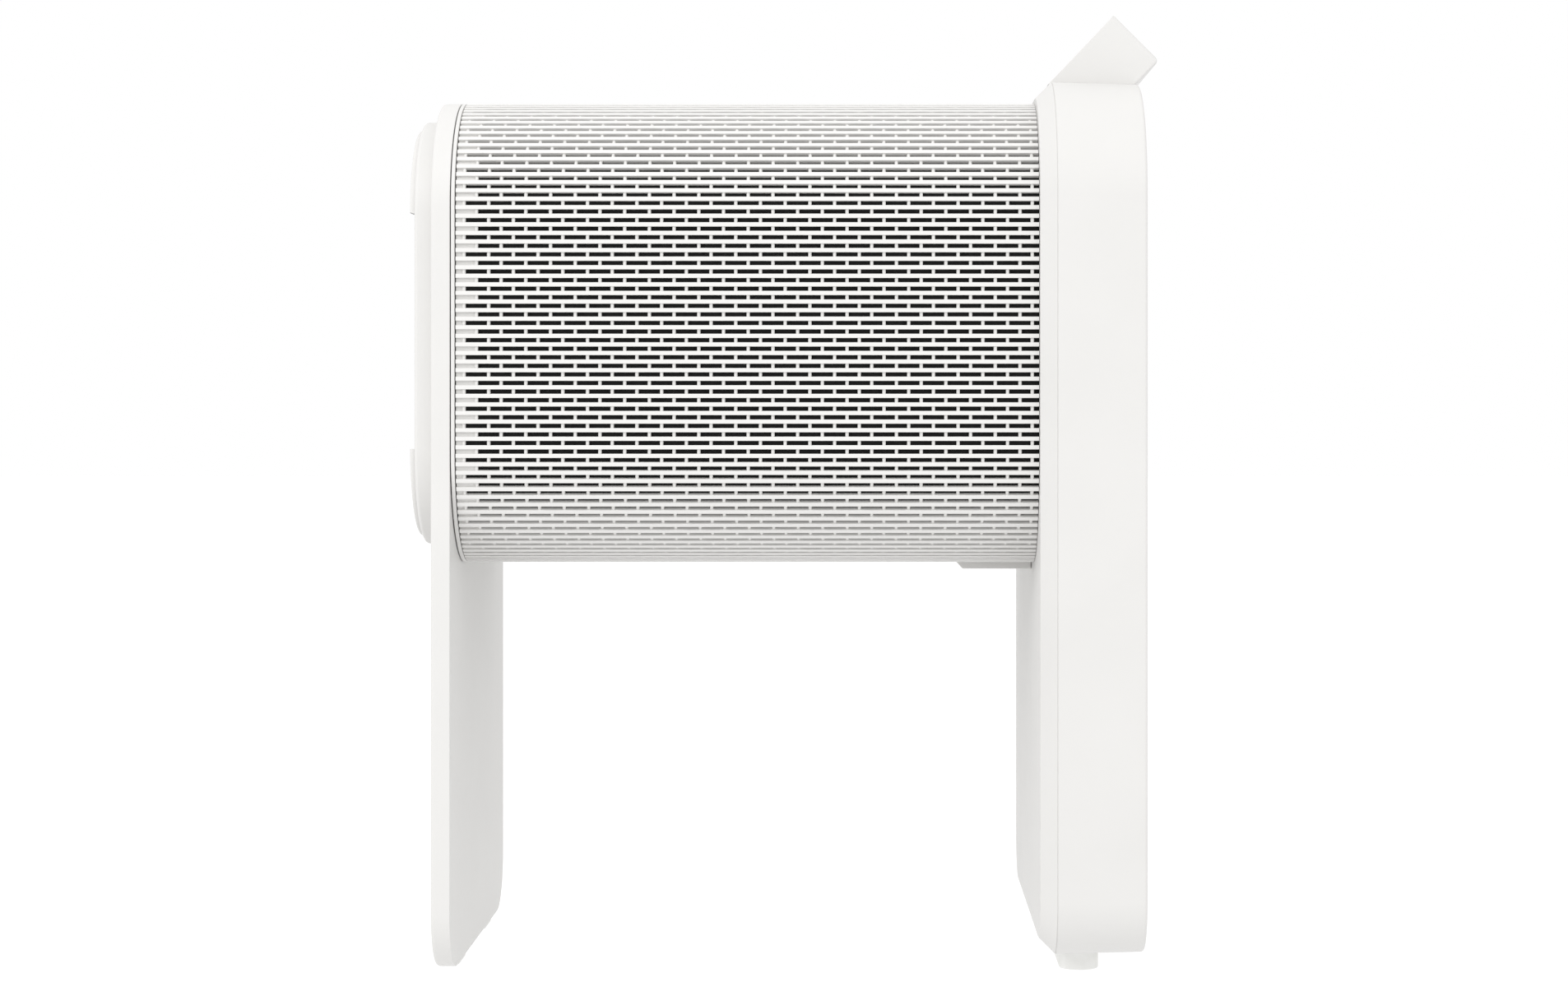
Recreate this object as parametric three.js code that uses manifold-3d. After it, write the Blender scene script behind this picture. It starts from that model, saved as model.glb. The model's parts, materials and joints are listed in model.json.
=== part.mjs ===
// Air purifier: a horizontal barrel held between a thin rear panel and a thick front housing,
// which both run down to the floor as legs. Air enters through the perforated barrel sleeve,
// passes the filter cartridge and leaves through the grille in the front cover.
// Units are millimetres and +Z is up. The origin is on the floor, under the middle of the
// object. X runs along the barrel, from the rear lid (-X) to the front cover (+X).

import * as THREE from 'three';
import { mergeVertices } from 'three/addons/utils/BufferGeometryUtils.js';
import Module from 'manifold-3d';

const wasm = await Module();
wasm.setup();

// ---------------------------------------------------------------- driving dimensions

const GAP = 0.3; // clearance left between separate pieces

// The barrel has a square section with round corners, about an axis along X.
const AXIS_Z = 356.2;
const BARREL_HALF = 129.6;
const BARREL_RADIUS = 62.6;
const SLEEVE_WALL = 3.5;
const SLEEVE_X = [-180.8, 138.5];
const END_RING_X = [-183.4, -181.4];
const PREFILTER_WALL = 1;

// The rear panel is a flat board with a round service opening for the filter.
const PANEL_X = [-194.6, -184];
const PANEL_BOTTOM_Z = 3.15;
const PANEL_FOOT_RADIUS = 32.4;
const PANEL_EDGE = 2.2;
const SERVICE_RADIUS = 110.5;
const GLIDE_Y = 62;
const GLIDE_SIZE = { x: 7.6, y: 34 };

// The rear lid is a shallow tray with a spigot and two raised pads.
const LID_OUTER_X = -205;
const LID_HALF = 119.3;
const LID_RADIUS = 54;
const LID_WALL = 2.5;
const LID_EDGE = 2.2;
const SPIGOT_WALL = 2.5;
const SPIGOT_END_X = -188.3;
const PAD_THICKNESS = 3;
const PAD_INSET = 2.3;
const PAD_FROM = 65; // distance of each pad's straight edge from the barrel axis

// Tie rods hold the rear panel to the fan inlet plate at the four barrel corners.
const ROD_OFFSET = 92;
const ROD_RADIUS = 4;
const SCREW = { head: 4.8, headHeight: 3.5, shank: 2.4, hole: 2.8, depth: 12 };
const MAGNET = { radius: 5, thickness: 3, boss: 1.7 };

// The filter cartridge slides in along the axis.
const FILTER = { outer: 105, pleat: 25, carbon: 10, cap: 109.8, capThickness: 6 };
const FILTER_REAR_X = -187.8;
const FILTER_FRONT_X = 124;
const SEAL_THICKNESS = 5.4;
const TAB = { width: 26, length: 64, thickness: 2, rise: 8 };

// The fan inlet plate closes the front of the barrel.
const INLET_PLATE_X = [130, 133];
const INLET = { throat: 55, mouth: 70, wall: 2, endX: 145.2 };

// The front housing is a deep tray, chamfered all round its inner edge.
const HOUSING_X = [138.8, 196.7];
const HOUSING_HALF = 144.9;
const HOUSING_Z = [12.6, 496.9];
const HOUSING_TOP_RADIUS = 67.5;
const HOUSING_FOOT_RADIUS = 32.4;
const HOUSING_CHAMFER = 9;
const HOUSING_WALL = 3;
const HOUSING_DRAFT = 1.1;
const HOUSING_EDGE = 2;
const EYE_RADIUS = 62;
const COVER_THICKNESS = 3;
const COVER_RECESS = 0.3;

// The outlet grille fills a window in the front cover.
const GRILLE_HALF = 105;
const GRILLE_RADIUS = 50;
const GRILLE_PITCH = 4.66;
const GRILLE_SLOT = 1.9;
const GRILLE_RIM = 7;

// Fan.
const DUCT_WALL = 2.5;
const FAN = { outer: 85, eye: 60, blades: 9, frontX: 146, backX: 168, plate: 2.4, hub: 14 };
const SHAFT_RADIUS = 4;
const MOTOR = { radius: 34, x: [171.4, 187.4] };
const MOUNT = { hub: 38, arm: 9, x: [187.8, 191.6] };

// Electronics in the lower part of the front housing.
const BOARD_THICKNESS = 1.6;
const POST_RADIUS = 3;
const MAIN_BOARD = { halfY: 62, z: [128, 208], x: 150 };
const SUPPLY = { halfY: 52, z: [36, 108], depth: 30 };
const SENSOR = { halfY: 17, z: [172, 200], depth: 6, vents: 5 };
const VENT = { length: 18, height: 1.6, pitch: 4.4 };

// One long foot with round ends under the front housing, held by two screws.
const FOOT = { x: 163, halfLength: 95.4, halfWidth: 11, screwY: 58, recess: 5.4, recessDepth: 5 };

// The control head stands on the housing and faces up and out at 45 degrees.
const HEAD_HALF = 77.4;
const HEAD_APEX = [183, 536];
const HEAD_TOE = [209.1, 509.9];
const HEAD_ROOT_X = [146.3, 196];
const HEAD_WALL = 2.5;
const HEAD_EDGE = 1.6;
const FACE_WALL = 4;
const PANEL_FACE = { width: 148, height: 31, depth: 2.3, ledge: 2 };
const BUTTON = { radius: 6.3, flange: 7.4, travel: 1, offsets: [-54, -34, 34, 54] };
const BUTTON_NAMES = ['power', 'fan_speed', 'mode', 'timer'];
const LENS = { halfWidth: 21, halfHeight: 7 };

// The mains inlet box hangs under the barrel, beside the front housing.
const BOX_X = [99.2, 138.5];
const BOX_HALF = 46.4;
const BOX_DROP = 4.9;
const BOX_CHAMFER = 4.2;
const BOX_WALL = 2;
const WINDOW = { x: [103.7, 129.8], half: 40.3 };
const BOX_COLLAR_TOP = 236;
const SOCKET = { x: 116, halfX: 6.5, halfY: 12, top: 238.4, pinSpacing: 4.3, pinRadius: 1.2 };
const SOCKET_SLOT = { radius: 4.3, depth: 12 };

// Fineness of curves.
const CORNER_STEPS = 7;
const ROUND_STEPS = 36;
const BUTTON_STEPS = 18;
const SMALL_STEPS = 12;

// ---------------------------------------------------------------- materials

function finish(color, roughness, metalness = 0) {
  return new THREE.MeshStandardMaterial({ color, roughness, metalness });
}

const WHITE = finish(0xf3f3f1, 0.55);
const SOFT_WHITE = finish(0xebebe8, 0.6);
const BLACK_MESH = finish(0x0d0d0d, 0.9);
const DARK_PLASTIC = finish(0x1c1d1f, 0.5);
const RUBBER = finish(0xd9d9d6, 0.85);
const PAPER = finish(0xf0eee6, 0.95);
const CARBON = finish(0x1a1a1a, 0.95);
const FOAM = finish(0x2b2b2b, 0.95);
const STEEL = finish(0xb8bbbe, 0.35, 0.9);
const BRASS = finish(0xc9a45a, 0.35, 0.9);
const CIRCUIT = finish(0x1f5a3a, 0.6);
const SMOKED = finish(0x15171a, 0.12);

// ---------------------------------------------------------------- shape helpers

// Turns a shape drawn in the YZ plane and extruded along its own normal to lie along X.
const TO_X = new THREE.Matrix4().makeBasis(
  new THREE.Vector3(0, 1, 0), new THREE.Vector3(0, 0, 1), new THREE.Vector3(1, 0, 0));

// Turns a lathe about its own Y axis to lie along X.
const LATHE_TO_X = new THREE.Matrix4().makeBasis(
  new THREE.Vector3(0, 1, 0), new THREE.Vector3(1, 0, 0), new THREE.Vector3(0, 0, -1));

// Turns a lathe about its own Y axis to stand along Z.
const LATHE_TO_Z = new THREE.Matrix4().makeBasis(
  new THREE.Vector3(1, 0, 0), new THREE.Vector3(0, 0, 1), new THREE.Vector3(0, -1, 0));

function solid(geometry) {
  const bare = geometry.clone();
  bare.deleteAttribute('normal');
  bare.deleteAttribute('uv');
  const merged = mergeVertices(bare, 1e-4);
  return new wasm.Manifold(new wasm.Mesh({
    numProp: 3,
    vertProperties: new Float32Array(merged.attributes.position.array),
    triVerts: new Uint32Array(merged.index.array),
  }));
}

function geometryOf(body) {
  const mesh = body.getMesh();
  const geometry = new THREE.BufferGeometry();
  geometry.setAttribute('position', new THREE.BufferAttribute(new Float32Array(mesh.vertProperties), 3));
  geometry.setIndex(new THREE.BufferAttribute(new Uint32Array(mesh.triVerts), 1));
  return geometry;
}

function cut(geometry, ...tools) {
  return geometryOf(tools.reduce((body, tool) => body.subtract(solid(tool)), solid(geometry)));
}

function join(geometry, ...others) {
  return geometryOf(others.reduce((body, other) => body.add(solid(other)), solid(geometry)));
}

// A box from its lowest to its highest corner.
function boxBetween(low, high) {
  const size = high.map((value, i) => value - low[i]);
  const box = new THREE.BoxGeometry(...size);
  return box.translate(...low.map((value, i) => value + size[i] / 2));
}

// Points of an upright outline with round corners, anticlockwise in the YZ plane.
function outlinePoints({ half, low, high, topRadius, footRadius }, inset = 0) {
  const corners = [
    { radius: footRadius, y: 1, z: -1, start: -Math.PI / 2 },
    { radius: topRadius, y: 1, z: 1, start: 0 },
    { radius: topRadius, y: -1, z: 1, start: Math.PI / 2 },
    { radius: footRadius, y: -1, z: -1, start: Math.PI },
  ];
  const points = [];
  for (const { radius, y, z, start } of corners) {
    const centreY = y * (half - radius);
    const centreZ = z > 0 ? high - radius : low + radius;
    for (let step = 0; step <= CORNER_STEPS; step += 1) {
      const angle = start + (step / CORNER_STEPS) * (Math.PI / 2);
      const reach = Math.max(radius - inset, 0.2);
      points.push([centreY + reach * Math.cos(angle), centreZ + reach * Math.sin(angle)]);
    }
  }
  return points;
}

function squareOutline(half, radius) {
  return { half, low: -half, high: half, topRadius: radius, footRadius: radius };
}

// A closed body whose outline is set in by a given amount at each station along X.
function loft(outline, stations) {
  const rings = stations.map(([x, inset]) => outlinePoints(outline, inset).map(([y, z]) => [x, y, z]));
  const count = rings[0].length;
  const index = [];
  for (let ring = 0; ring < rings.length - 1; ring += 1) {
    for (let i = 0; i < count; i += 1) {
      const next = (i + 1) % count;
      const a = ring * count + i;
      const b = ring * count + next;
      index.push(a, b, b + count, a, b + count, a + count);
    }
  }
  const lastRing = (rings.length - 1) * count;
  for (let i = 1; i < count - 1; i += 1) {
    index.push(0, i + 1, i);
    index.push(lastRing, lastRing + i, lastRing + i + 1);
  }
  const geometry = new THREE.BufferGeometry();
  geometry.setAttribute('position', new THREE.Float32BufferAttribute(rings.flat(2), 3));
  geometry.setIndex(index);
  return geometry;
}

function prism(outline, [from, to], inset = 0) {
  return loft(outline, [[from, inset], [to, inset]]);
}

// A tube with the same outline inside and outside, open at both ends.
function tube(outline, [from, to], wall) {
  return cut(prism(outline, [from, to]), prism(outline, [from - 1, to + 1], wall));
}

// A body turned about X from [x, radius] points that run round its section.
function turnedX(profile, steps = ROUND_STEPS) {
  const points = profile.map(([x, radius]) => new THREE.Vector2(radius, x));
  return new THREE.LatheGeometry(points, steps).applyMatrix4(LATHE_TO_X);
}

// A body turned about Z from [radius, z] points.
function turnedZ(profile, steps = SMALL_STEPS) {
  const points = profile.map(([radius, z]) => new THREE.Vector2(radius, z));
  return new THREE.LatheGeometry(points, steps).applyMatrix4(LATHE_TO_Z);
}

function discX([from, to], radius, steps = ROUND_STEPS) {
  return turnedX([[from, 0], [from, radius], [to, radius], [to, 0]], steps);
}

function ringX([from, to], outer, inner, steps = ROUND_STEPS) {
  return turnedX([[from, inner], [from, outer], [to, outer], [to, inner], [from, inner]], steps);
}

function discZ([from, to], radius, steps = SMALL_STEPS) {
  return turnedZ([[0, from], [radius, from], [radius, to], [0, to]], steps);
}

// A shape with a half-round end at each side, drawn about the origin.
function pillShape(halfWidth, halfHeight) {
  const straight = halfWidth - halfHeight;
  const shape = new THREE.Shape();
  shape.absarc(straight, 0, halfHeight, -Math.PI / 2, Math.PI / 2, false);
  shape.absarc(-straight, 0, halfHeight, Math.PI / 2, (3 * Math.PI) / 2, false);
  return shape;
}

function extruded(shape, [from, to], curveSegments = 8) {
  const options = { depth: to - from, bevelEnabled: false, curveSegments };
  return new THREE.ExtrudeGeometry(shape, options).translate(0, 0, from);
}

const purifier = new THREE.Group();
const barrel = new THREE.Group();
barrel.position.z = AXIS_Z;
purifier.add(barrel);

function place(parent, name, geometry, material) {
  const mesh = new THREE.Mesh(geometry, material);
  mesh.name = name;
  parent.add(mesh);
  return mesh;
}

// The four corner positions of the tie rods, about the barrel axis.
const ROD_CORNERS = [[-1, -1], [1, -1], [1, 1], [-1, 1]].map(([y, z]) => [y * ROD_OFFSET, z * ROD_OFFSET]);

// ---------------------------------------------------------------- barrel

const barrelOutline = squareOutline(BARREL_HALF, BARREL_RADIUS);
const sleeveBore = squareOutline(BARREL_HALF - SLEEVE_WALL - GAP, BARREL_RADIUS - SLEEVE_WALL - GAP);
const inletWindow = boxBetween(
  [WINDOW.x[0], -WINDOW.half, -BARREL_HALF - 5],
  [WINDOW.x[1], WINDOW.half, -BARREL_HALF + 20]);

place(barrel, 'barrel_sleeve', cut(tube(barrelOutline, SLEEVE_X, SLEEVE_WALL), inletWindow), WHITE);
place(barrel, 'rear_end_ring', tube(barrelOutline, END_RING_X, SLEEVE_WALL), WHITE);
place(barrel, 'prefilter_mesh',
  cut(tube(sleeveBore, SLEEVE_X, PREFILTER_WALL), inletWindow), BLACK_MESH);

// ---------------------------------------------------------------- rear panel and glides

const panelOutline = {
  half: BARREL_HALF,
  low: PANEL_BOTTOM_Z,
  high: AXIS_Z + BARREL_HALF,
  topRadius: BARREL_RADIUS,
  footRadius: PANEL_FOOT_RADIUS,
};
const [panelOuterX, panelInnerX] = PANEL_X;
const panelBoard = loft(panelOutline, [
  [panelOuterX, PANEL_EDGE], [panelOuterX + PANEL_EDGE, 0], [panelInnerX, 0]]);
const panelHoles = ROD_CORNERS.map(([y, z]) =>
  discX([panelOuterX - 1, panelInnerX + 1], SCREW.hole, SMALL_STEPS).translate(0, y, AXIS_Z + z));
const serviceOpening = discX([panelOuterX - 1, panelInnerX + 1], SERVICE_RADIUS).translate(0, 0, AXIS_Z);
place(purifier, 'rear_panel', cut(panelBoard, serviceOpening, ...panelHoles), WHITE);

for (const [side, y] of [['near', -GLIDE_Y], ['far', GLIDE_Y]]) {
  const pad = extruded(pillShape(GLIDE_SIZE.y / 2, GLIDE_SIZE.x / 2), [0, PANEL_BOTTOM_Z - GAP], 6);
  pad.rotateZ(Math.PI / 2);
  const glide = place(purifier, `rear_glide_${side}`, pad, RUBBER);
  glide.position.set((panelOuterX + panelInnerX) / 2, y, 0);
}

// ---------------------------------------------------------------- tie rods and their screws

const rodFromX = panelInnerX + GAP;
const rodToX = INLET_PLATE_X[0] - GAP;
const rodGeometry = turnedX([
  [rodFromX + SCREW.depth, 0], [rodFromX + SCREW.depth, SCREW.hole], [rodFromX, SCREW.hole],
  [rodFromX, ROD_RADIUS], [rodToX, ROD_RADIUS], [rodToX, 0]], SMALL_STEPS);
const screwHeadX = panelOuterX - GAP;
const screwGeometry = turnedX([
  [screwHeadX - SCREW.headHeight, 0], [screwHeadX - SCREW.headHeight, SCREW.head],
  [screwHeadX, SCREW.head], [screwHeadX, SCREW.shank],
  [rodFromX + SCREW.depth - 1, SCREW.shank], [rodFromX + SCREW.depth - 1, 0]], SMALL_STEPS);
const magnetX = LID_OUTER_X + LID_WALL + GAP;
const magnetGeometry = discX([magnetX, magnetX + MAGNET.thickness], MAGNET.radius, SMALL_STEPS);

ROD_CORNERS.forEach(([y, z], i) => {
  place(barrel, `tie_rod_${i + 1}`, rodGeometry, STEEL).position.set(0, y, z);
  place(barrel, `tie_rod_screw_${i + 1}`, screwGeometry, STEEL).position.set(0, y, z);
  place(barrel, `lid_magnet_${i + 1}`, magnetGeometry, STEEL).position.set(0, y, z);
});

// ---------------------------------------------------------------- rear lid

function rearLid() {
  const outline = squareOutline(LID_HALF, LID_RADIUS);
  const innerX = panelOuterX - GAP;
  const shell = loft(outline, [[LID_OUTER_X, LID_EDGE], [LID_OUTER_X + LID_EDGE, 0], [innerX, 0]]);
  const floorX = LID_OUTER_X + LID_WALL;
  const hollow = prism(outline, [floorX, innerX + 1], LID_WALL);
  const spigotRadius = SERVICE_RADIUS - 2 * GAP;
  const spigot = ringX([floorX - 0.5, SPIGOT_END_X], spigotRadius, spigotRadius - SPIGOT_WALL);
  const bosses = ROD_CORNERS.map(([y, z]) => ringX(
    [floorX - 0.5, magnetX + 2], MAGNET.radius + GAP + MAGNET.boss, MAGNET.radius + GAP, SMALL_STEPS,
  ).translate(0, y, z));
  return join(cut(shell, hollow), spigot, ...bosses);
}

// One pad covers the lid beyond a straight edge above (side 1) or below (side -1) the axis.
function lidPad(side) {
  const inset = LID_EDGE + PAD_INSET;
  const outline = squareOutline(LID_HALF - inset, LID_RADIUS - inset);
  const outerX = LID_OUTER_X - PAD_THICKNESS;
  const innerX = LID_OUTER_X - GAP;
  const sheet = loft(outline, [[outerX, PAD_THICKNESS / 2], [outerX + PAD_THICKNESS / 2, 0], [innerX, 0]]);
  const [low, high] = side > 0 ? [-LID_HALF, PAD_FROM] : [-PAD_FROM, LID_HALF];
  return cut(sheet, boxBetween([outerX - 1, -LID_HALF, low], [innerX + 1, LID_HALF, high]));
}

place(barrel, 'rear_lid', rearLid(), WHITE);
place(barrel, 'lid_pad_upper', lidPad(1), SOFT_WHITE);
place(barrel, 'lid_pad_lower', lidPad(-1), SOFT_WHITE);

// ---------------------------------------------------------------- filter cartridge

const rearCapX = [FILTER_REAR_X, FILTER_REAR_X + FILTER.capThickness];
const frontCapX = [FILTER_FRONT_X - FILTER.capThickness, FILTER_FRONT_X];
const mediaX = [rearCapX[1] + GAP, frontCapX[0] - GAP];
const mediaInner = FILTER.outer - FILTER.pleat;
const carbonInner = mediaInner - GAP - FILTER.carbon;

place(barrel, 'filter_end_cap_rear', discX(rearCapX, FILTER.cap), DARK_PLASTIC);
place(barrel, 'filter_end_cap_front', ringX(frontCapX, FILTER.cap - 1, carbonInner), DARK_PLASTIC);
place(barrel, 'filter_media', ringX(mediaX, FILTER.outer, mediaInner), PAPER);
place(barrel, 'carbon_core', ringX(mediaX, mediaInner - GAP, carbonInner), CARBON);
place(barrel, 'filter_seal',
  ringX([FILTER_FRONT_X + GAP, FILTER_FRONT_X + GAP + SEAL_THICKNESS], 100, 82), FOAM);

// The pull tab is a flat loop that stands off the rear cap.
const tabBaseX = FILTER_REAR_X - GAP;
const tabOuter = boxBetween(
  [tabBaseX - TAB.rise, -TAB.length / 2, -TAB.width / 2], [tabBaseX, TAB.length / 2, TAB.width / 2]);
const tabHollow = boxBetween(
  [tabBaseX - TAB.rise + TAB.thickness, -TAB.length / 2 + TAB.thickness, -TAB.width],
  [tabBaseX + 1, TAB.length / 2 - TAB.thickness, TAB.width]);
place(barrel, 'filter_pull_tab', cut(tabOuter, tabHollow), RUBBER);

// ---------------------------------------------------------------- fan inlet, fan and motor

function fanInletPlate() {
  const plate = prism(sleeveBore, INLET_PLATE_X, PREFILTER_WALL + GAP);
  const mouth = discX([INLET_PLATE_X[0] - 1, INLET_PLATE_X[1] + 1], INLET.mouth);
  const [plateX, backX] = INLET_PLATE_X;
  const flareX = plateX + 8;
  const funnel = turnedX([
    [plateX, INLET.mouth], [plateX, INLET.mouth + 2], [backX, INLET.mouth + 2],
    [flareX, INLET.throat + INLET.wall + 1], [INLET.endX, INLET.throat + INLET.wall],
    [INLET.endX, INLET.throat], [flareX - 2, INLET.throat], [plateX, INLET.mouth]]);
  return join(cut(plate, mouth), funnel);
}

// A blade curves backwards from the eye to the rim.
function fanBlade() {
  const shape = new THREE.Shape();
  const [inner, outer, bend, thickness] = [FAN.eye - 16, FAN.outer - 1, 26, 2.2];
  shape.moveTo(inner, 0);
  shape.quadraticCurveTo((inner + outer) / 2, -4, outer, -bend);
  shape.lineTo(outer, -bend + thickness);
  shape.quadraticCurveTo((inner + outer) / 2, thickness - 4, inner, thickness);
  return extruded(shape, [FAN.frontX + 0.5, FAN.backX + 0.5], 5).applyMatrix4(TO_X);
}

function impeller() {
  const backX = [FAN.backX, FAN.backX + FAN.plate];
  const backPlate = ringX(backX, FAN.outer, SHAFT_RADIUS + GAP);
  const shroud = ringX([FAN.frontX, FAN.frontX + FAN.plate], FAN.outer, FAN.eye);
  const hub = ringX([FAN.backX - 14, FAN.backX + 0.5], FAN.hub, SHAFT_RADIUS + GAP);
  const blades = [];
  for (let i = 0; i < FAN.blades; i += 1) {
    blades.push(fanBlade().rotateX((i / FAN.blades) * 2 * Math.PI));
  }
  return join(backPlate, shroud, hub, ...blades);
}

function motorMount() {
  const reach = GRILLE_HALF - GAP;
  const [from, to] = MOUNT.x;
  const hub = ringX(MOUNT.x, MOUNT.hub, SHAFT_RADIUS * 2);
  const arm = MOUNT.arm / 2;
  const across = boxBetween([from, -reach, -arm], [to, -MOUNT.hub + 2, arm]);
  const arms = [0, 1, 2, 3].map((turn) => across.clone().rotateX((turn * Math.PI) / 2));
  return join(hub, ...arms);
}

const coverX = [HOUSING_X[1] - COVER_RECESS - COVER_THICKNESS, HOUSING_X[1] - COVER_RECESS];
const ductX = [HOUSING_X[0] + HOUSING_WALL + 0.5 + GAP, coverX[0] - GAP];
const ductOutline = squareOutline(GRILLE_HALF + DUCT_WALL, GRILLE_RADIUS + DUCT_WALL);

place(barrel, 'fan_inlet_plate', fanInletPlate(), SOFT_WHITE);
place(barrel, 'impeller', impeller(), DARK_PLASTIC);
place(barrel, 'fan_shaft', discX([FAN.backX - 16, MOTOR.x[1] - 1], SHAFT_RADIUS, SMALL_STEPS), STEEL);
place(barrel, 'fan_motor', ringX(MOTOR.x, MOTOR.radius, SHAFT_RADIUS + 2 * GAP), STEEL);
place(barrel, 'motor_mount', motorMount(), DARK_PLASTIC);
place(barrel, 'outlet_duct', tube(ductOutline, ductX, DUCT_WALL), SOFT_WHITE);

// ---------------------------------------------------------------- front housing

const housingOutline = {
  half: HOUSING_HALF,
  low: HOUSING_Z[0],
  high: HOUSING_Z[1],
  topRadius: HOUSING_TOP_RADIUS,
  footRadius: HOUSING_FOOT_RADIUS,
};
const wallX = HOUSING_X[0] + HOUSING_WALL + 0.5;

function frontHousing() {
  const [innerX, outerX] = HOUSING_X;
  const shell = loft(housingOutline, [
    [innerX, HOUSING_CHAMFER], [innerX + HOUSING_CHAMFER, 0],
    [outerX - HOUSING_EDGE, HOUSING_DRAFT], [outerX, HOUSING_DRAFT + HOUSING_EDGE * 0.6]]);
  const hollow = loft(housingOutline, [
    [wallX, HOUSING_CHAMFER], [innerX + HOUSING_CHAMFER + 1.5, HOUSING_WALL],
    [outerX + 1, HOUSING_WALL + HOUSING_DRAFT]]);
  const eye = discX([innerX - 1, wallX + 1], EYE_RADIUS).translate(0, 0, AXIS_Z);
  const footHoles = [-FOOT.screwY, FOOT.screwY].map((y) =>
    discZ([HOUSING_Z[0] - 1, HOUSING_Z[0] + HOUSING_WALL + 2], SCREW.hole).translate(FOOT.x, y, 0));
  const cableSlot = boxBetween([158, -12, HOUSING_Z[1] - 8], [166, 12, HOUSING_Z[1] + 2]);
  const posts = [];
  for (const y of [-MAIN_BOARD.halfY + 6, MAIN_BOARD.halfY - 6]) {
    for (const z of [MAIN_BOARD.z[0] + 6, MAIN_BOARD.z[1] - 6]) {
      posts.push(discX([wallX - 0.5, MAIN_BOARD.x - GAP], POST_RADIUS, 10).translate(0, y, z));
    }
  }
  return join(cut(shell, hollow, eye, cableSlot, ...footHoles), ...posts);
}

function frontCover() {
  const inset = HOUSING_WALL + HOUSING_DRAFT + GAP;
  const plate = loft(housingOutline, [[coverX[0], inset], [coverX[1], inset]]);
  const window = prism(squareOutline(GRILLE_HALF, GRILLE_RADIUS), [coverX[0] - 1, coverX[1] + 1]);
  const vents = [];
  for (let i = 0; i < SENSOR.vents; i += 1) {
    const z = SENSOR.z[0] + 4 + i * VENT.pitch;
    vents.push(boxBetween(
      [coverX[0] - 1, -VENT.length / 2, z], [coverX[1] + 1, VENT.length / 2, z + VENT.height]));
  }
  return cut(plate, window.translate(0, 0, AXIS_Z), ...vents);
}

// Half the width of the square grille outline at a height above or below the axis.
function grilleHalfWidth(height) {
  const half = GRILLE_HALF - GRILLE_RIM;
  const radius = GRILLE_RADIUS - GRILLE_RIM;
  const past = Math.max(Math.abs(height) - (half - radius), 0);
  return half - radius + Math.sqrt(Math.max(radius ** 2 - past ** 2, 0));
}

function outletGrille() {
  const outline = squareOutline(GRILLE_HALF - GAP, GRILLE_RADIUS - GAP);
  const plate = prism(outline, coverX);
  const rows = Math.floor((GRILLE_HALF - GRILLE_RIM) / GRILLE_PITCH);
  const slots = [];
  for (let row = -rows; row <= rows; row += 1) {
    const z = row * GRILLE_PITCH;
    const reach = grilleHalfWidth(Math.abs(z) + GRILLE_SLOT / 2);
    for (const [from, to] of [[-reach, -2], [2, reach]]) {
      slots.push(boxBetween(
        [coverX[0] - 1, from, z - GRILLE_SLOT / 2], [coverX[1] + 1, to, z + GRILLE_SLOT / 2]));
    }
  }
  return cut(plate, ...slots);
}

place(purifier, 'front_housing', frontHousing(), WHITE);
place(purifier, 'front_cover', frontCover(), WHITE);
place(barrel, 'outlet_grille', outletGrille(), WHITE);

// ---------------------------------------------------------------- electronics

const boardHalfY = MAIN_BOARD.halfY;
place(purifier, 'main_board', boxBetween(
  [MAIN_BOARD.x, -boardHalfY, MAIN_BOARD.z[0]],
  [MAIN_BOARD.x + BOARD_THICKNESS, boardHalfY, MAIN_BOARD.z[1]]), CIRCUIT);
place(purifier, 'power_supply', boxBetween(
  [wallX + GAP, -SUPPLY.halfY, SUPPLY.z[0]],
  [wallX + GAP + SUPPLY.depth, SUPPLY.halfY, SUPPLY.z[1]]), DARK_PLASTIC);
place(purifier, 'air_sensor', boxBetween(
  [coverX[0] - GAP - SENSOR.depth, -SENSOR.halfY, SENSOR.z[0]],
  [coverX[0] - GAP, SENSOR.halfY, SENSOR.z[1]]), DARK_PLASTIC);

// ---------------------------------------------------------------- foot

function frontFoot() {
  const topZ = HOUSING_Z[0] - GAP;
  const rail = extruded(pillShape(FOOT.halfLength, FOOT.halfWidth), [0, topZ], 12).rotateZ(Math.PI / 2);
  const holes = [-FOOT.screwY, FOOT.screwY].flatMap((y) => [
    discZ([-1, FOOT.recessDepth], FOOT.recess).translate(0, y, 0),
    discZ([-1, topZ + 1], SCREW.hole).translate(0, y, 0),
  ]);
  return cut(rail, ...holes);
}

const footScrewHeadZ = FOOT.recessDepth - GAP;
const footScrewGeometry = turnedZ([
  [0, footScrewHeadZ - 3], [SCREW.head, footScrewHeadZ - 3], [SCREW.head, footScrewHeadZ],
  [SCREW.shank, footScrewHeadZ], [SCREW.shank, HOUSING_Z[0] + 8], [0, HOUSING_Z[0] + 8]]);
place(purifier, 'front_foot', frontFoot(), RUBBER).position.x = FOOT.x;
for (const [side, y] of [['near', -FOOT.screwY], ['far', FOOT.screwY]]) {
  place(purifier, `foot_screw_${side}`, footScrewGeometry, STEEL).position.set(FOOT.x, y, 0);
}

// ---------------------------------------------------------------- control head

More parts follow.
